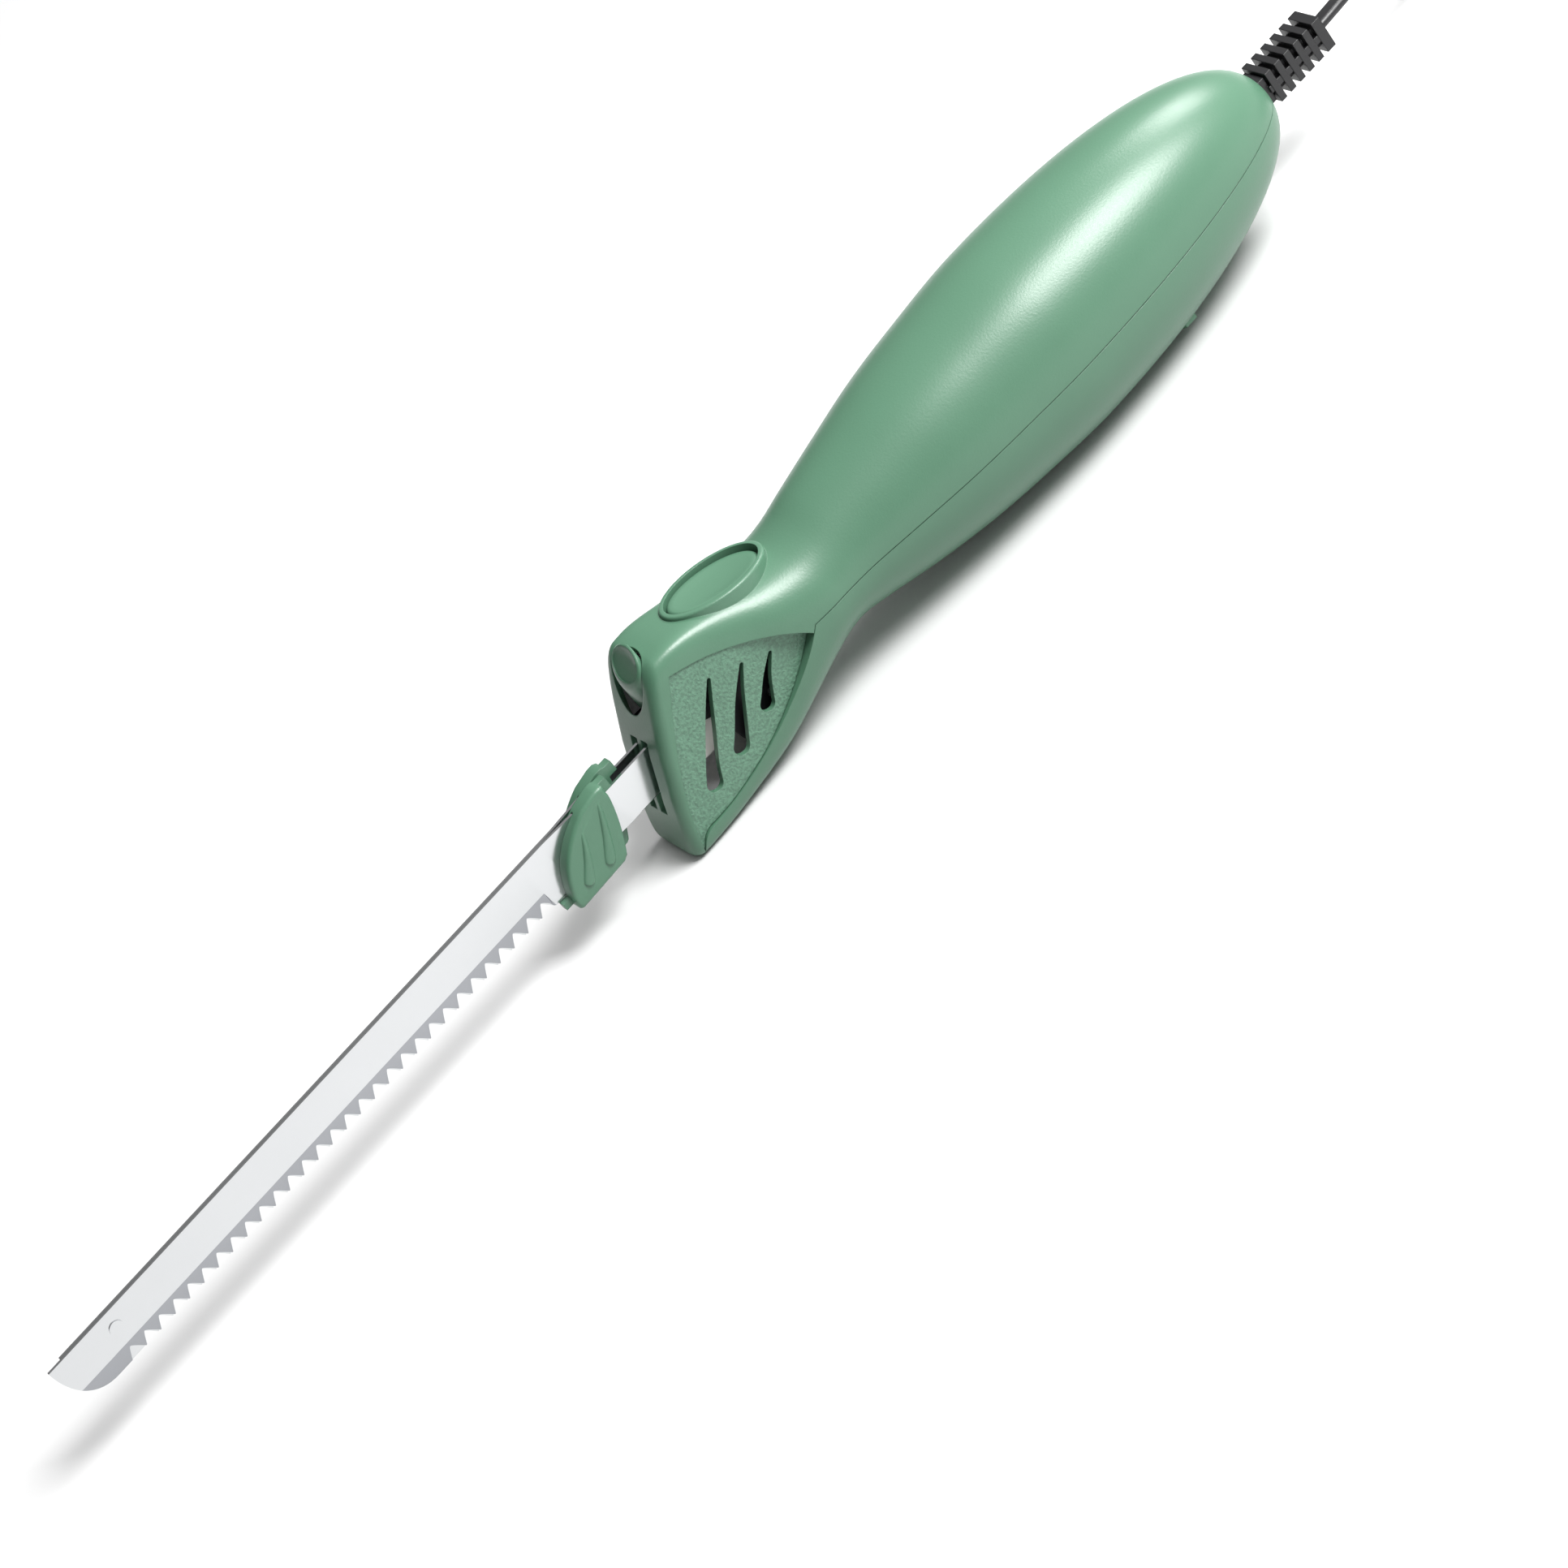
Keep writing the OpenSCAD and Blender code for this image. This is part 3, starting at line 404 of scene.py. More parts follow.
def body_solid(name, inset, sides=144, step=2.2):
    """The grip and head as one closed solid, inset all over; only the outside has the rounded front edge."""
    rings = []
    bends = [0] if inset else range(0, 91, 10)
    for a in bends:
        r = 0 if inset else NOSE_R
        x = FRONT_X - inset - r * (1 - cos(a * pi / 180))
        s = section(x, inset)
        d = r * (1 - sin(a * pi / 180))
        rings.append(ring(x, [s[0] - d, s[1] - d, s[2] - d, s[3], s[4]], sides))
    count = int((BELLY_X - HEAD_START) / step)
    for k in range(count):
        x = -HEAD_START - (BELLY_X - HEAD_START) * k / count
        rings.append(ring(x, section(x, inset), sides))
    for a in range(0, 88, 3):
        x = -BELLY_X - (TAIL_LEN - inset) * sin(a * pi / 180)
        rings.append(ring(x, section(x, inset), sides))
    verts = [p for r in rings for p in r] + [(-BELLY_X - TAIL_LEN + inset, 0, 0)]
    faces = [tuple(reversed(f)) for f in tube_faces(len(rings), sides, caps=False)]
    half, quarter = sides // 2, sides // 4
    for i in range(-quarter, quarter):
        quad = [(half - i) % sides, (half - i - 1) % sides, (i + 1) % sides, i % sides]
        faces.append(tuple(reversed(list(dict.fromkeys(quad)))))
    base = (len(rings) - 1) * sides
    faces += [(base + (i + 1) % sides, base + i, len(verts) - 1) for i in range(sides)]
    return new_object(name, to_world(verts), faces)


# ---------------------------------------------------------------- solids for cutting and joining
def fix_normals(piece):
    work = bmesh.new()
    work.from_mesh(piece.data)
    bmesh.ops.recalc_face_normals(work, faces=work.faces)
    work.to_mesh(piece.data)
    work.free()
    return piece


FEWEST_FACES = 4  # fewer than a closed solid can have: the fast solver gave nothing


def combine(piece, other, operation="DIFFERENCE", solver="MANIFOLD"):
    """Cuts piece by other, joins them or keeps what they share, and removes other."""
    change = piece.modifiers.new("combine", "BOOLEAN")
    change.operation = operation
    change.solver = solver
    change.object = other
    view = bpy.context.evaluated_depsgraph_get()
    mesh = bpy.data.meshes.new_from_object(piece.evaluated_get(view), depsgraph=view)
    piece.modifiers.remove(change)
    if len(mesh.polygons) < FEWEST_FACES and solver == "MANIFOLD":
        return combine(piece, other, operation, "EXACT")
    piece.data = mesh
    bpy.data.objects.remove(other)
    return piece


def copy_of(piece, name):
    twin = piece.copy()
    twin.data = piece.data.copy()
    twin.name = name
    bpy.context.collection.objects.link(twin)
    return twin


def side_plate(name, outline, y0, y1):
    """A flat outline in X and Z, thickened along Y; each y may depend on x."""
    m = len(outline)
    verts = [(x, y0(x) if callable(y0) else y0, z) for x, z in outline]
    verts += [(x, y1(x) if callable(y1) else y1, z) for x, z in outline]
    return fix_normals(new_object(name, to_world(verts), tube_faces(2, m), smooth=False))


def block(name, low, high):
    return side_plate(name, [(low[0], low[2]), (high[0], low[2]), (high[0], high[2]), (low[0], high[2])],
                      low[1], high[1])


def stack(name, levels, place, sides=96):
    """Oval rings, closed at both ends: half length, half width, and a height or a function of x and y."""
    verts = []
    for a, b, z in levels:
        for i in range(sides):
            t = 2 * pi * i / sides
            x, y = a * cos(t), b * sin(t)
            verts.append(place((x, y, z(x, y) if callable(z) else z)))
    return fix_normals(new_object(name, to_world(verts), tube_faces(len(levels), sides)))


def bezier(p, n):
    """n + 1 points along a cubic curve."""
    out = []
    for i in range(n + 1):
        t = i / n
        w = ((1 - t) ** 3, 3 * t * (1 - t) ** 2, 3 * t * t * (1 - t), t ** 3)
        out.append(tuple(sum(k * q[j] for k, q in zip(w, p)) for j in range(len(p[0]))))
    return out


def sharp_from_angle(piece, degrees=32):
    piece.data.shade_smooth()
    piece.data.set_sharp_from_angle(angle=degrees * pi / 180)


# ---------------------------------------------------------------- run button and its collar
BUTTON_AT, BUTTON_TILT = Vector((-48.5, 0, 21.9)), 10 * pi / 180
BUTTON_A, BUTTON_B, COLLAR_RIM, BUTTON_GAP = 15.0, 9.25, 2.2, 0.6
BUTTON_DROP, BUTTON_SLOPE = 0.45, 0.035
BUTTON_LOW, BUTTON_FLANGE_TOP, BUTTON_FLANGE = -10, -8.6, (1.6, 1.4)
BUTTON_POCKET_R, BUTTON_FLOOR, BUTTON_SEAT, BUTTON_TRAVEL = 5, -2.6, -13.6, 3
COLLAR_ROUND = 0.8


def on_button(p):
    """A point of the tilted button, whose own Z is the way that it presses."""
    x, y, z = p
    return BUTTON_AT + Vector((x * cos(BUTTON_TILT) - z * sin(BUTTON_TILT), y,
                               x * sin(BUTTON_TILT) + z * cos(BUTTON_TILT)))


def collar_solid():
    a, b = BUTTON_A + COLLAR_RIM, BUTTON_B + COLLAR_RIM
    r = COLLAR_ROUND
    rim = [(a - r * (1 - cos(t)), b - r * (1 - cos(t)), -r + r * sin(t))
           for t in [i * pi / 12 for i in range(7)]]
    return stack("collar", [(a + 0.5, b + 0.5, -8), (a + 0.2, b + 0.2, -4)] + rim, on_button)


def run_button():
    a, b = BUTTON_A, BUTTON_B
    wide = (a + BUTTON_FLANGE[0], b + BUTTON_FLANGE[1])

    def top(depth):
        return lambda x, y: -BUTTON_DROP - depth - BUTTON_SLOPE * (a - x)

    levels = [(*wide, BUTTON_LOW), (*wide, BUTTON_FLANGE_TOP), (a, b, BUTTON_FLANGE_TOP), (a, b, top(1.0)),
              (a - 0.15, b - 0.15, top(0.6)), (a - 0.5, b - 0.5, top(0.22)), (a - 1.1, b - 1.1, top(0.0)),
              (a - 2.4, b - 2.4, top(0.12)), (a * 0.6, b * 0.6, top(0.5)), (a * 0.3, b * 0.3, top(0.72)),
              (a * 0.03, b * 0.03, top(0.78))]
    piece = stack("run_button_cap", levels, on_button, 128)
    r = BUTTON_POCKET_R
    well = stack("pocket", [(r, r, BUTTON_LOW - 2), (r, r, BUTTON_FLOOR)], on_button, 48)
    combine(piece, well)
    sharp_from_angle(piece, 40)
    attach(piece, "button")
    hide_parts("run_button")
    finish_with(piece, "green_shell")


# ---------------------------------------------------------------- release plunger
PLUNGER_X, PLUNGER_A, PLUNGER_B = -15.2, 4.1, 7.6
WELL_X, WELL_A, WELL_B = -14.2, 6.0, 8.3
PLUNGER_LOW, PLUNGER_TRAVEL = 9.2, 4.0
FACE_AT, FACE_SLOPE = (-15.2, 23.3), 1.19
PLUNGER_FLANGE, PLUNGER_FLANGE_Z = 1.8, (14.4, 15.9)
PLUNGER_POCKET_R, PLUNGER_SEAT, PLUNGER_FLOOR = 3.3, 4.6, 14


def at_plunger(p):
    return Vector((p[0] + PLUNGER_X, p[1], p[2]))


def release_plunger():
    """An oval column with a slanted, slightly dished end face, and a flange on its rear half."""
    def face(depth):
        return lambda x, y: FACE_AT[1] - (x + PLUNGER_X - FACE_AT[0]) * FACE_SLOPE - depth

    a, b = PLUNGER_A, PLUNGER_B
    levels = [(a, b, PLUNGER_LOW), (a, b, face(1.3)), (a - 0.2, b - 0.2, face(0.65)),
              (a - 0.75, b - 0.75, face(0.1)), (a - 1.0, b - 1.0, face(0.05)),
              (a - 1.15, b - 1.15, face(0.5)),
              (a - 2.5, b - 2.5, face(0.6)), (a * 0.05, b * 0.05, face(0.75))]
    wide = (a + PLUNGER_FLANGE, b + PLUNGER_FLANGE)
    r = PLUNGER_POCKET_R
    piece = stack("release_plunger_cap", levels, at_plunger)
    flange = stack("flange", [(*wide, z) for z in PLUNGER_FLANGE_Z], at_plunger)
    combine(flange, block("trim", (PLUNGER_X - 1, -12, 10), (PLUNGER_X + 12, 12, 20)))
    combine(piece, flange, "UNION")
    combine(piece, stack("pocket", [(r, r, 5), (r, r, PLUNGER_FLOOR)], at_plunger, 48))
    sharp_from_angle(piece, 34)
    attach(piece, "plunger")
    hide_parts("release_plunger")
    finish_with(piece, "green_shell")


# ---------------------------------------------------------------- springs
SPRING_TURNS, STEPS_PER_TURN, WIRE_SIDES = 4.5, 28, 10


def pressed_spring(name, node, place, r, wire, bottom, top):
    """Round wire wound between a seat on the housing and a button."""
    steps = int(SPRING_TURNS * STEPS_PER_TURN)
    verts = []
    for i in range(steps + 1):
        turn = 2 * pi * i / STEPS_PER_TURN
        height = bottom + wire + (top - bottom - 2 * wire) * i / steps
        for j in range(WIRE_SIDES):
            b = 2 * pi * j / WIRE_SIDES
            out = r + wire * cos(b)
            verts.append(place((out * cos(turn), out * sin(turn), height + wire * sin(b))))
    piece = fix_normals(new_object(name, to_world(verts), tube_faces(steps + 1, WIRE_SIDES)))
    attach(piece, "housing")
    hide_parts(node)
    finish_with(piece, "spring_steel")
    axis = place((0, 0, 1)) - place((0, 0, 0))
    anchor = to_world([place((0, 0, bottom))])[0]
    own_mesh(piece)


# ---------------------------------------------------------------- shells
# Slanted drops: x, z and half width at points down the centre line of each vent
VENTS = [
    [(-27.2, 9.0, 0.55), (-22.8, 3.0, 1.15), (-18.6, -3.0, 1.6), (-13.2, -11.0, 2.05), (-10.4, -16.0, 2.5)],
    [(-36.6, 5.4, 0.55), (-32.4, 0.4, 1.15), (-29.1, -4.0, 1.65), (-25.0, -10.0, 2.1), (-22.4, -13.6, 2.5)],
    [(-44.6, 1.6, 0.55), (-40.0, -3.2, 1.25), (-37.2, -7.0, 1.8), (-35.3, -9.6, 2.3)]]
PARTING = (bezier([(-58, 0), (-50, -9), (-28, -24.5), (-2, -24.8)], 24)
           + bezier([(-2, -24.8), (1.5, -25.3), (3.8, -28), (5, -36)], 10)[1:])
CREASE = bezier([(-19.5, 18.6), (-33, 15), (-50, 7), (-57.4, -3)], 24)
PANEL_FRONT = bezier([(3.5, -28), (0, -12), (-9, 3), (-19.5, 18.6)], 16)
PANEL_STEP = 0.4
PANEL_Y, PANEL_LEAN, PANEL_SKIN_Y, PANEL_OUT = 11.9, 0.07, 5, 26
BACKING_Y, BACKING_OUT = 10.0, 40
BACKING = [(-62, -40), (8, -40), (8, 22), (-62, 22)]
SLOT_Y, SLOT_Z = (0.9, 4.5), (-17.2, 3.6)
# Housing screws: x, y and the height of each recess
POSTS = [(-9, 0, -26.5), (-79, 9.5, -12), (-79, -9.5, -12), (-222, 11, -12), (-222, -11, -12)]
RECESS_R = 2.9
GROOVE = 0.13  # half the gap between the two shells
RELIEF_HALF = 4.3


def vent_outline(drops):
    """The outline of a drop: it follows its centre line on both sides and is round at both ends."""
    line = spline([Vector((x, z, r)) for x, z, r in drops], 5)
    left, right = [], []
    for i, p in enumerate(line):
        d = (line[min(i + 1, len(line) - 1)] - line[max(i - 1, 0)]).to_2d().normalized()
        n = Vector((-d.y, d.x))
        left.append(tuple(p.to_2d() + n * p.z))
        right.append(tuple(p.to_2d() - n * p.z))
    first, final = line[0], line[-1]
    d0 = (line[1] - line[0]).to_2d().normalized()
    d1 = (line[-1] - line[-2]).to_2d().normalized()

    def arc(centre, d, r):
        n = Vector((-d.y, d.x))
        return [tuple(centre.to_2d() + n * r * cos(t) + d * r * sin(t))
                for t in [pi * k / 10 for k in range(1, 10)]]

    return left + arc(final, d1, final.z) + right[::-1] + arc(first, -d0, first.z)


def parting_region(shift):
    """Everything above the parting line, moved up by shift."""
    line = [(-300, shift)] + [(x, z + shift) for x, z in PARTING]
    return side_plate("region", line + [(40, -36 + shift), (40, 60), (-300, 60)], -45, 45)


def front_cuts(piece):
    """Vents, blade slots, the wells of the plunger and the button, and the strain relief's hole."""
    for drops in VENTS:
        combine(piece, side_plate("vent", vent_outline(drops), -30, 30))
    for side in (-1, 1):
        y0, y1 = sorted((side * SLOT_Y[0], side * SLOT_Y[1]))
        combine(piece, block("slot", (-20, y0, SLOT_Z[0]), (20, y1, SLOT_Z[1])))
    combine(piece, stack("well", [(WELL_A, WELL_B, PLUNGER_LOW - PLUNGER_TRAVEL - 2), (WELL_A, WELL_B, 60)],
                         lambda p: Vector((p[0] + WELL_X, p[1], p[2]))))
    a, b = BUTTON_A + BUTTON_GAP, BUTTON_B + BUTTON_GAP
    combine(piece, stack("well", [(a, b, -20), (a, b, 20)], on_button, 128))
    combine(piece, block("relief_hole", (-264, -RELIEF_HALF, -RELIEF_HALF), (-247, RELIEF_HALF, RELIEF_HALF)))


def panel_cut(piece):
    """Sinks the textured side panels: a skin all over, and down to a flat that leans out by 4 degrees."""
    outline = CREASE + [(-58, -40), (3.5, -40)] + PANEL_FRONT[:-1]
    for side in (-1, 1):
        flat = side_plate("panel", outline, lambda x: side * (PANEL_Y - PANEL_LEAN * x), side * PANEL_OUT)
        skin = side_plate("skin", outline, side * PANEL_SKIN_Y, side * PANEL_OUT)
        for cutter in (flat, skin):
            cutter.data.materials.clear()
            cutter.data.materials.append(MATERIALS["green_spark"])
        core = body_solid("core", PANEL_STEP)
        core.data.materials.append(MATERIALS["green_spark"])
        combine(skin, core)
        combine(piece, flat)
        combine(piece, skin)


def shells():
    """The two halves, each cut from one hollow body; the textured panels are all in the upper one."""
    outer = body_solid("shell", 0)
    outer.data.materials.append(MATERIALS["green_shell"])
    combine(outer, collar_solid(), "UNION")
    inside = body_solid("inside", WALL, 72, 4)
    for side in (-1, 1):
        combine(inside, side_plate("backing", BACKING,
                                   lambda x: side * (BACKING_Y - PANEL_LEAN * x), side * BACKING_OUT))
    combine(outer, inside)
    upper = copy_of(outer, "upper_half")
    lower = outer
    lower.name = "lower_half"
    combine(upper, parting_region(GROOVE), "INTERSECT")
    combine(lower, parting_region(-GROOVE))
    panel_cut(upper)
    for piece in (upper, lower):
        front_cuts(piece)
    for x, y, z in POSTS:
        combine(lower, stack("recess", [(RECESS_R, RECESS_R, -40), (RECESS_R, RECESS_R, z)],
                             lambda p, x=x, y=y: Vector((p[0] + x, p[1] + y, p[2])), 40))
    for piece, node in ((upper, "upper_shell"), (lower, "lower_shell")):
        sharp_from_angle(piece)
        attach(piece, "housing")
        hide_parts(node)


shells()
run_button()
release_plunger()
pressed_spring("button_spring_wire", "button_spring", on_button, 3.8, 0.4,
               BUTTON_SEAT, BUTTON_FLOOR)
pressed_spring("plunger_spring_wire", "plunger_spring", at_plunger, 2.6, 0.35,
               PLUNGER_SEAT, PLUNGER_FLOOR)

# ---------------------------------------------------------------- blades
BLADE_REACH, BLADE_T, SPINE_Z, EDGE_Z = 224.0, 1.0, 3.9, -12.9
PITCH, TEETH, GULLET, STROKE = 5.5, 30, 4.0, 4.8
FIRST_TOOTH, HEEL_X = BLADE_REACH - 17.3, 38.0
BEVEL_Z = EDGE_Z + GULLET + 1.6
GROUND_X = HEEL_X + 4
RIVET = (BLADE_REACH - 20.7, -1.7)
RIVET_HOLE_R = {1: 1.46, -1: 1.8}
SHANK_X, SHANK_LOW, SHANK_TOP, SHANK_STEP = -20, -11.4, 1.6, 3
SPINE_STEP_X, SPINE_RAMP = 20, 1.15
NOSE_LEN, NOSE_POWER, NOSE_DROP = 12.5, 2.3, 0.3
# Shares of a tooth's pitch before and behind the top of its gullet, then how flat its point and its top are
TOOTH_RISE, TOOTH_FALL, POINT_FLAT, TOP_FLAT = 0.41, 0.59, 0.05, 0.13
# The blades' shanks spread apart behind JOGGLE_X, over JOGGLE_LEN
FACE_GAP, JOGGLE_OUT, JOGGLE_X, JOGGLE_LEN = 0.05, 1.75, 34, 22


def edge_height(x):
    """The blade's lower outline: rounded nose, thirty ground teeth, straight heel, narrower shank."""
    if x < HEEL_X - SHANK_STEP:
        return SHANK_LOW
    if x < HEEL_X:
        return SHANK_LOW + (EDGE_Z - SHANK_LOW) * (x - HEEL_X + SHANK_STEP) / SHANK_STEP
    behind = (FIRST_TOOTH - x) / PITCH
    if 0 < behind < TEETH - 0.2:
        u = behind % 1.0
        v = u / TOOTH_RISE if u < TOOTH_RISE else (1 - u) / TOOTH_FALL
        v = min(1.0, max(0.0, (v - POINT_FLAT) / (1 - POINT_FLAT)))
        return EDGE_Z + GULLET * (v - TOP_FLAT * v ** 6) / (1 - TOP_FLAT)
    nose = max(0.0, (x - BLADE_REACH + NOSE_LEN) / NOSE_LEN)
    return EDGE_Z + (SPINE_Z - EDGE_Z - NOSE_DROP) * (1 - sqrt(max(0.0, 1 - nose ** NOSE_POWER)))


def joggle(x):
    """How far the blade's inner face stands off the knife's middle plane."""
    return FACE_GAP + JOGGLE_OUT * min(1.0, max(0.0, (JOGGLE_X - x) / JOGGLE_LEN))


def blade(name, side, set_back, node, body):
    """One toothed strip, ground on its outer side; the outline is sampled closely at every tooth."""
    xs = [SHANK_X + 2 * i for i in range(16)] + [12.5, 20, 20.5, 22, 34, 35, 36, 38]
    xs += [39 + i for i in range(8)]
    fractions = (0.0, 0.025, 0.14, 0.27, 0.35, 0.41, 0.47, 0.55, 0.70, 0.86, 0.97)
    xs += [FIRST_TOOTH - PITCH * (i + f) for i in range(TEETH) for f in fractions]
    xs += [FIRST_TOOTH, FIRST_TOOTH + 2.5]
    xs += [BLADE_REACH - NOSE_LEN * (1 - sin(pi / 2 * i / 14)) for i in range(15)]
    xs = sorted(x for x in set(round(v, 4) for v in xs) if x >= SHANK_X)
    verts, m = [], 6
    for x in xs:
        top = min(SPINE_Z, max(SHANK_TOP, SHANK_TOP + (x - SPINE_STEP_X) * SPINE_RAMP))
        low = edge_height(x)
        ground = x > GROUND_X
        line = min(top - 0.02, max(BEVEL_Z, low + 0.02)) if ground else low + 0.2
        inner, outer = joggle(x), joggle(x) + BLADE_T
        thin = 0.8 * (line - low) / (BEVEL_Z - EDGE_Z) if ground else 0.05
        rows = [(inner, top), (inner, line), (inner, low), (outer - thin, low), (outer, line), (outer, top)]
        verts += [(x + set_back, side * y, z) for y, z in rows]
    piece = fix_normals(new_object(name, to_world(verts), tube_faces(len(xs), m), smooth=False))
    finish_with(piece, "stainless", "ground_steel_and_painted_shade")
    # The outer ground bevel faces take the second finish, whose darker grey is painted shade on the bevel.
    for face in piece.data.polygons:
        centre = face.center / MM - ORIGIN
        if abs(face.normal.y) > 0.3 and centre.z < BEVEL_Z and centre.x > GROUND_X:
            face.material_index = 1 if abs(centre.y) > 0.1 else 0
    r = RIVET_HOLE_R[side]
    hole = [(RIVET[0] + r * cos(t), RIVET[1] + r * sin(t)) for t in [2 * pi * i / 32 for i in range(32)]]
    if side < 0:
        hole = [(x - (2 * STROKE if x < RIVET[0] else 0), z) for x, z in hole]
    combine(piece, side_plate("hole", hole, -3, 3), solver="EXACT")
    sharp_from_angle(piece, 14)
    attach(piece, body)
    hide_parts(node)


blade("left_blade_ground", 1, 0, "left_blade", "left_knife")
blade("right_blade_ground", -1, -STROKE, "right_blade", "right_knife")

# ---------------------------------------------------------------- guard halves
GUARD = ([(12.1, 5.3)] + bezier([(12.1, 5.3), (12.4, -1), (16, -10), (19.8, -16.4)], 20)[1:]
         + [(20.7, -16.9), (37.4, -17.5), (38.0, -17.2), (38.4, -16.7), (38.6, -14.7)]
         + bezier([(38.6, -14.7), (37, -8), (33, 0), (20.8, 4.8)], 20)[1:] + [(15.3, 5.9), (13.2, 5.9)])
RIBS = [[(16.0, 3.0, 0.35), (17.4, -0.6, 0.8), (20.0, -6.2, 1.25), (23.0, -11.6, 1.7), (24.4, -13.8, 1.5)],
        [(24.6, 0.2, 0.35), (26.0, -3.0, 0.8), (28.4, -7.4, 1.25), (31.2, -11.6, 1.7), (32.5, -13.4, 1.5)]]


GUARD_IN, GUARD_OUT, GUARD_ROUND = 0.3, 5.6, 1.2
RIB_Y, RIB_HEIGHT = 5.45, 0.75
POCKET_LOW, POCKET_TOP = -13.1, 4.1


def guard_blank(side, set_back):
    """The guard's outline made thick, with its outer rim rounded."""
    work = bmesh.new()
    corners = [work.verts.new((x + set_back, side * GUARD_IN, z)) for x, z in GUARD]
    base = work.faces.new(corners)
    grown = bmesh.ops.extrude_face_region(work, geom=[base])
    raised = [v for v in grown["geom"] if isinstance(v, bmesh.types.BMVert)]
    for v in raised:
        v.co.y = side * GUARD_OUT
    rim = [e for e in work.edges if all(v in raised for v in e.verts)]
    bmesh.ops.bevel(work, geom=rim, offset=GUARD_ROUND, segments=5, profile=0.5, affect="EDGES",
                    clamp_overlap=True)
    bmesh.ops.recalc_face_normals(work, faces=work.faces)
    for v in work.verts:
        v.co = (v.co + ORIGIN) * MM
    mesh = bpy.data.meshes.new("guard")
    work.to_mesh(mesh)
    work.free()
    piece = bpy.data.objects.new("guard", mesh)
    bpy.context.collection.objects.link(piece)
    return piece


def rib_solid(drops, side, set_back):
    """A raised drop, round in section and at both ends."""
    line = spline([Vector((x, z, r)) for x, z, r in drops], 5)
    verts, m = [], 20
    for i, p in enumerate(line):
        d = (line[min(i + 1, len(line) - 1)] - line[max(i - 1, 0)]).to_2d().normalized()
        n = Vector((-d.y, d.x))
        reach = p.z * min(1.0, 0.25 + i * 0.5, 0.2 + 0.55 * (len(line) - 1 - i))
        for j in range(m):
            t = 2 * pi * j / m
            q = p.to_2d() + n * reach * cos(t)
            verts.append((q.x + set_back, side * (RIB_Y + RIB_HEIGHT * sin(t) * min(1, reach)), q.y))
    return fix_normals(new_object("rib", to_world(verts), tube_faces(len(line), m)))


def blade_pocket(side, set_back, grow=0.03):
    """The slit that the blade lies in, larger than the blade by grow on both faces."""
    def inner(x):
        return side * (joggle(x - set_back) - grow)

    def outer(x):
        return side * (joggle(x - set_back) + BLADE_T + grow)

    xs = [4 + set_back, JOGGLE_X - JOGGLE_LEN, JOGGLE_X + set_back, 60]
    outline = [(x, POCKET_LOW) for x in xs] + [(x, POCKET_TOP) for x in reversed(xs)]
    return side_plate("pocket", outline, inner, outer)


def guard_half(name, side, set_back, node, body):
    """The blank with its ribs, a stop below the blade and a hook above it, opened for the blade."""
    piece = guard_blank(side, set_back)
    piece.name = name
    for drops in RIBS:
        combine(piece, rib_solid(drops, side, set_back), "UNION")
    y0, y1 = sorted((side * GUARD_IN, side * 2.6))
    combine(piece, block("stop", (36 + set_back, y0, -15.6), (41 + set_back, y1, -13.4)), "UNION")
    y0, y1 = sorted((side * GUARD_IN, side * 3.2))
    combine(piece, block("hook", (9.6 + set_back, y0, 1.9), (14 + set_back, y1, 5.4)), "UNION")
    combine(piece, blade_pocket(side, set_back))
    y0, y1 = sorted((-side * 1, side * 3.2))
    combine(piece, block("mouth", (5 + set_back, y0, POCKET_LOW), (12.4 + set_back, y1, 1.8)))
    sharp_from_angle(piece, 36)
    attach(piece, body)
    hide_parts(node)
    finish_with(piece, "green_shell")


guard_half("left_guard_half", 1, 0, "left_guard", "left_knife")
guard_half("right_guard_half", -1, -STROKE, "right_guard", "right_knife")

carry_over_cad_nodes()


# ---------------------------------------------------------------- floor and light
FLOOR_HALF_M, FLOOR_GAP_M = 30, 0.0002
WORLD_STRENGTH = 0.95
BRIGHT_SIDE = Vector((-0.75, 0.35, 0.55))
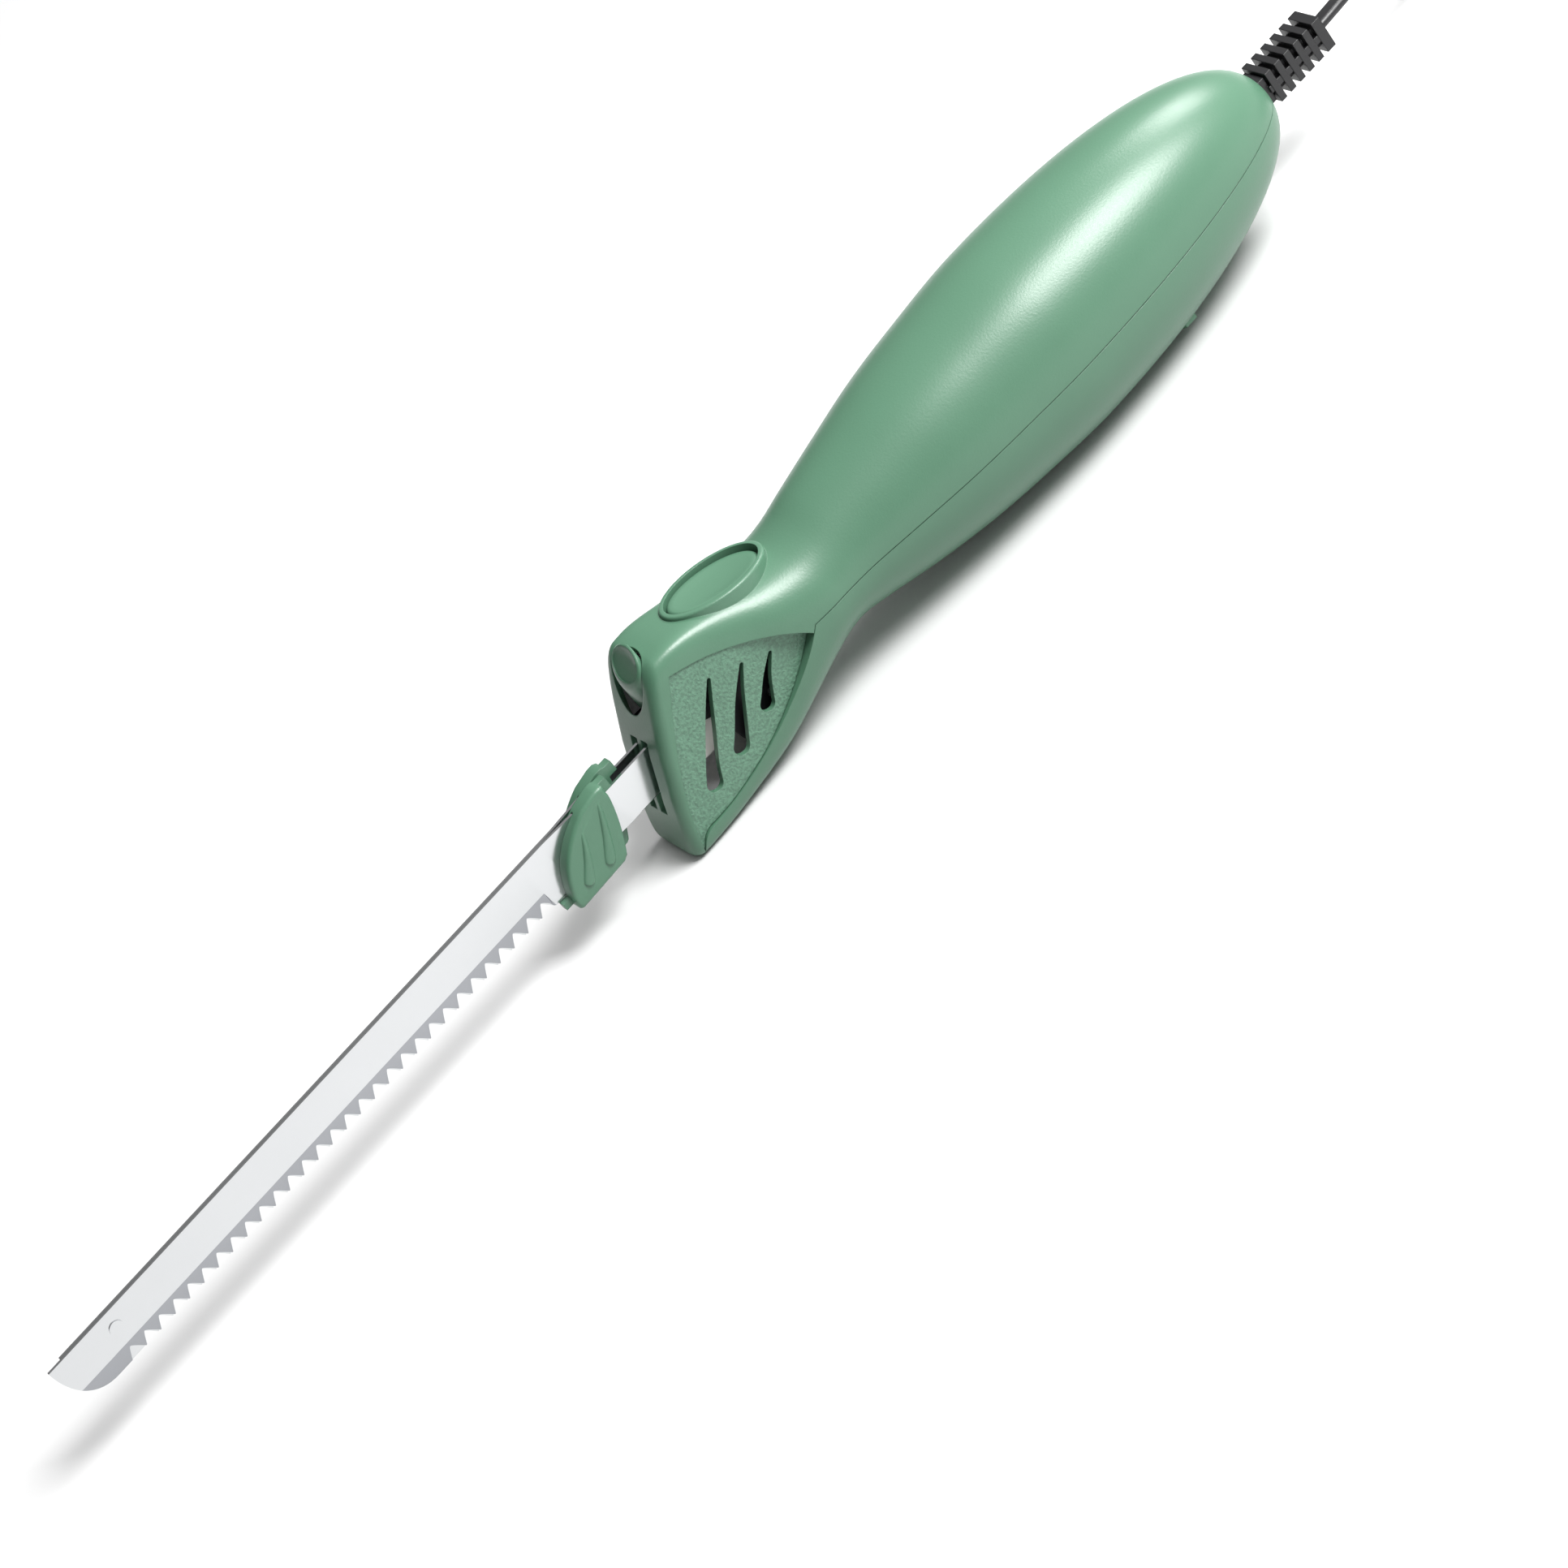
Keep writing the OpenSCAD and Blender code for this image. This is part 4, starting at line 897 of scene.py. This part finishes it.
# Name, place, aim, size in metres, power in watts
LIGHTS = [("key", (-1.15, 1.0, 1.8), (-0.05, 0, 0.02), (1.0, 1.0), 95),
          ("rim", (-0.9, -0.25, 0.7), (-0.2, 0, 0.03), (0.4, 0.25), 7)]


def floor():
    h = FLOOR_HALF_M
    corners = [(-h, -h, 0), (h, -h, 0), (h, h, 0), (-h, h, 0)]
    piece = new_object("floor", corners, [(0, 1, 2, 3)], smooth=False)
    piece.location.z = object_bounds()[0][2] - FLOOR_GAP_M
    material = principled("paper", (0.64, 0.64, 0.64), 0.75)[0]
    piece.data.materials.append(material)
    piece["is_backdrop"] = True


def area_light(name, place, target, size, power_w):
    data = bpy.data.lights.new(name, "AREA")
    data.shape = "RECTANGLE"
    data.size, data.size_y = size
    data.energy = power_w
    lamp = bpy.data.objects.new(name, data)
    bpy.context.collection.objects.link(lamp)
    lamp.location = place
    aim = Vector(target) - Vector(place)
    lamp.rotation_euler = aim.to_track_quat("-Z", "Y").to_euler()


def lighting():
    """A sky that is bright behind and above the grip and dark in front of the head, and two soft lamps."""
    world = bpy.data.worlds.new("studio")
    bpy.context.scene.world = world
    world.use_nodes = True
    nodes, links = world.node_tree.nodes, world.node_tree.links
    back = nodes["Background"]
    place = nodes.new("ShaderNodeTexCoord")
    lean = nodes.new("ShaderNodeVectorMath")
    lean.operation = "DOT_PRODUCT"
    lean.inputs[1].default_value = BRIGHT_SIDE.normalized()
    links.new(place.outputs["Generated"], lean.inputs[0])
    shade = nodes.new("ShaderNodeMapRange")
    shade.inputs["From Min"].default_value = -0.3
    shade.inputs["From Max"].default_value = 0.9
    shade.inputs["To Min"].default_value = 0.03
    shade.inputs["To Max"].default_value = 0.95
    links.new(lean.outputs["Value"], shade.inputs["Value"])
    links.new(shade.outputs["Result"], back.inputs["Color"])
    back.inputs["Strength"].default_value = WORLD_STRENGTH
    for name, spot, target, size, power_w in LIGHTS:
        area_light(name, spot, target, size, power_w)
    bpy.context.scene.view_settings.view_transform = "Standard"


floor()
lighting()
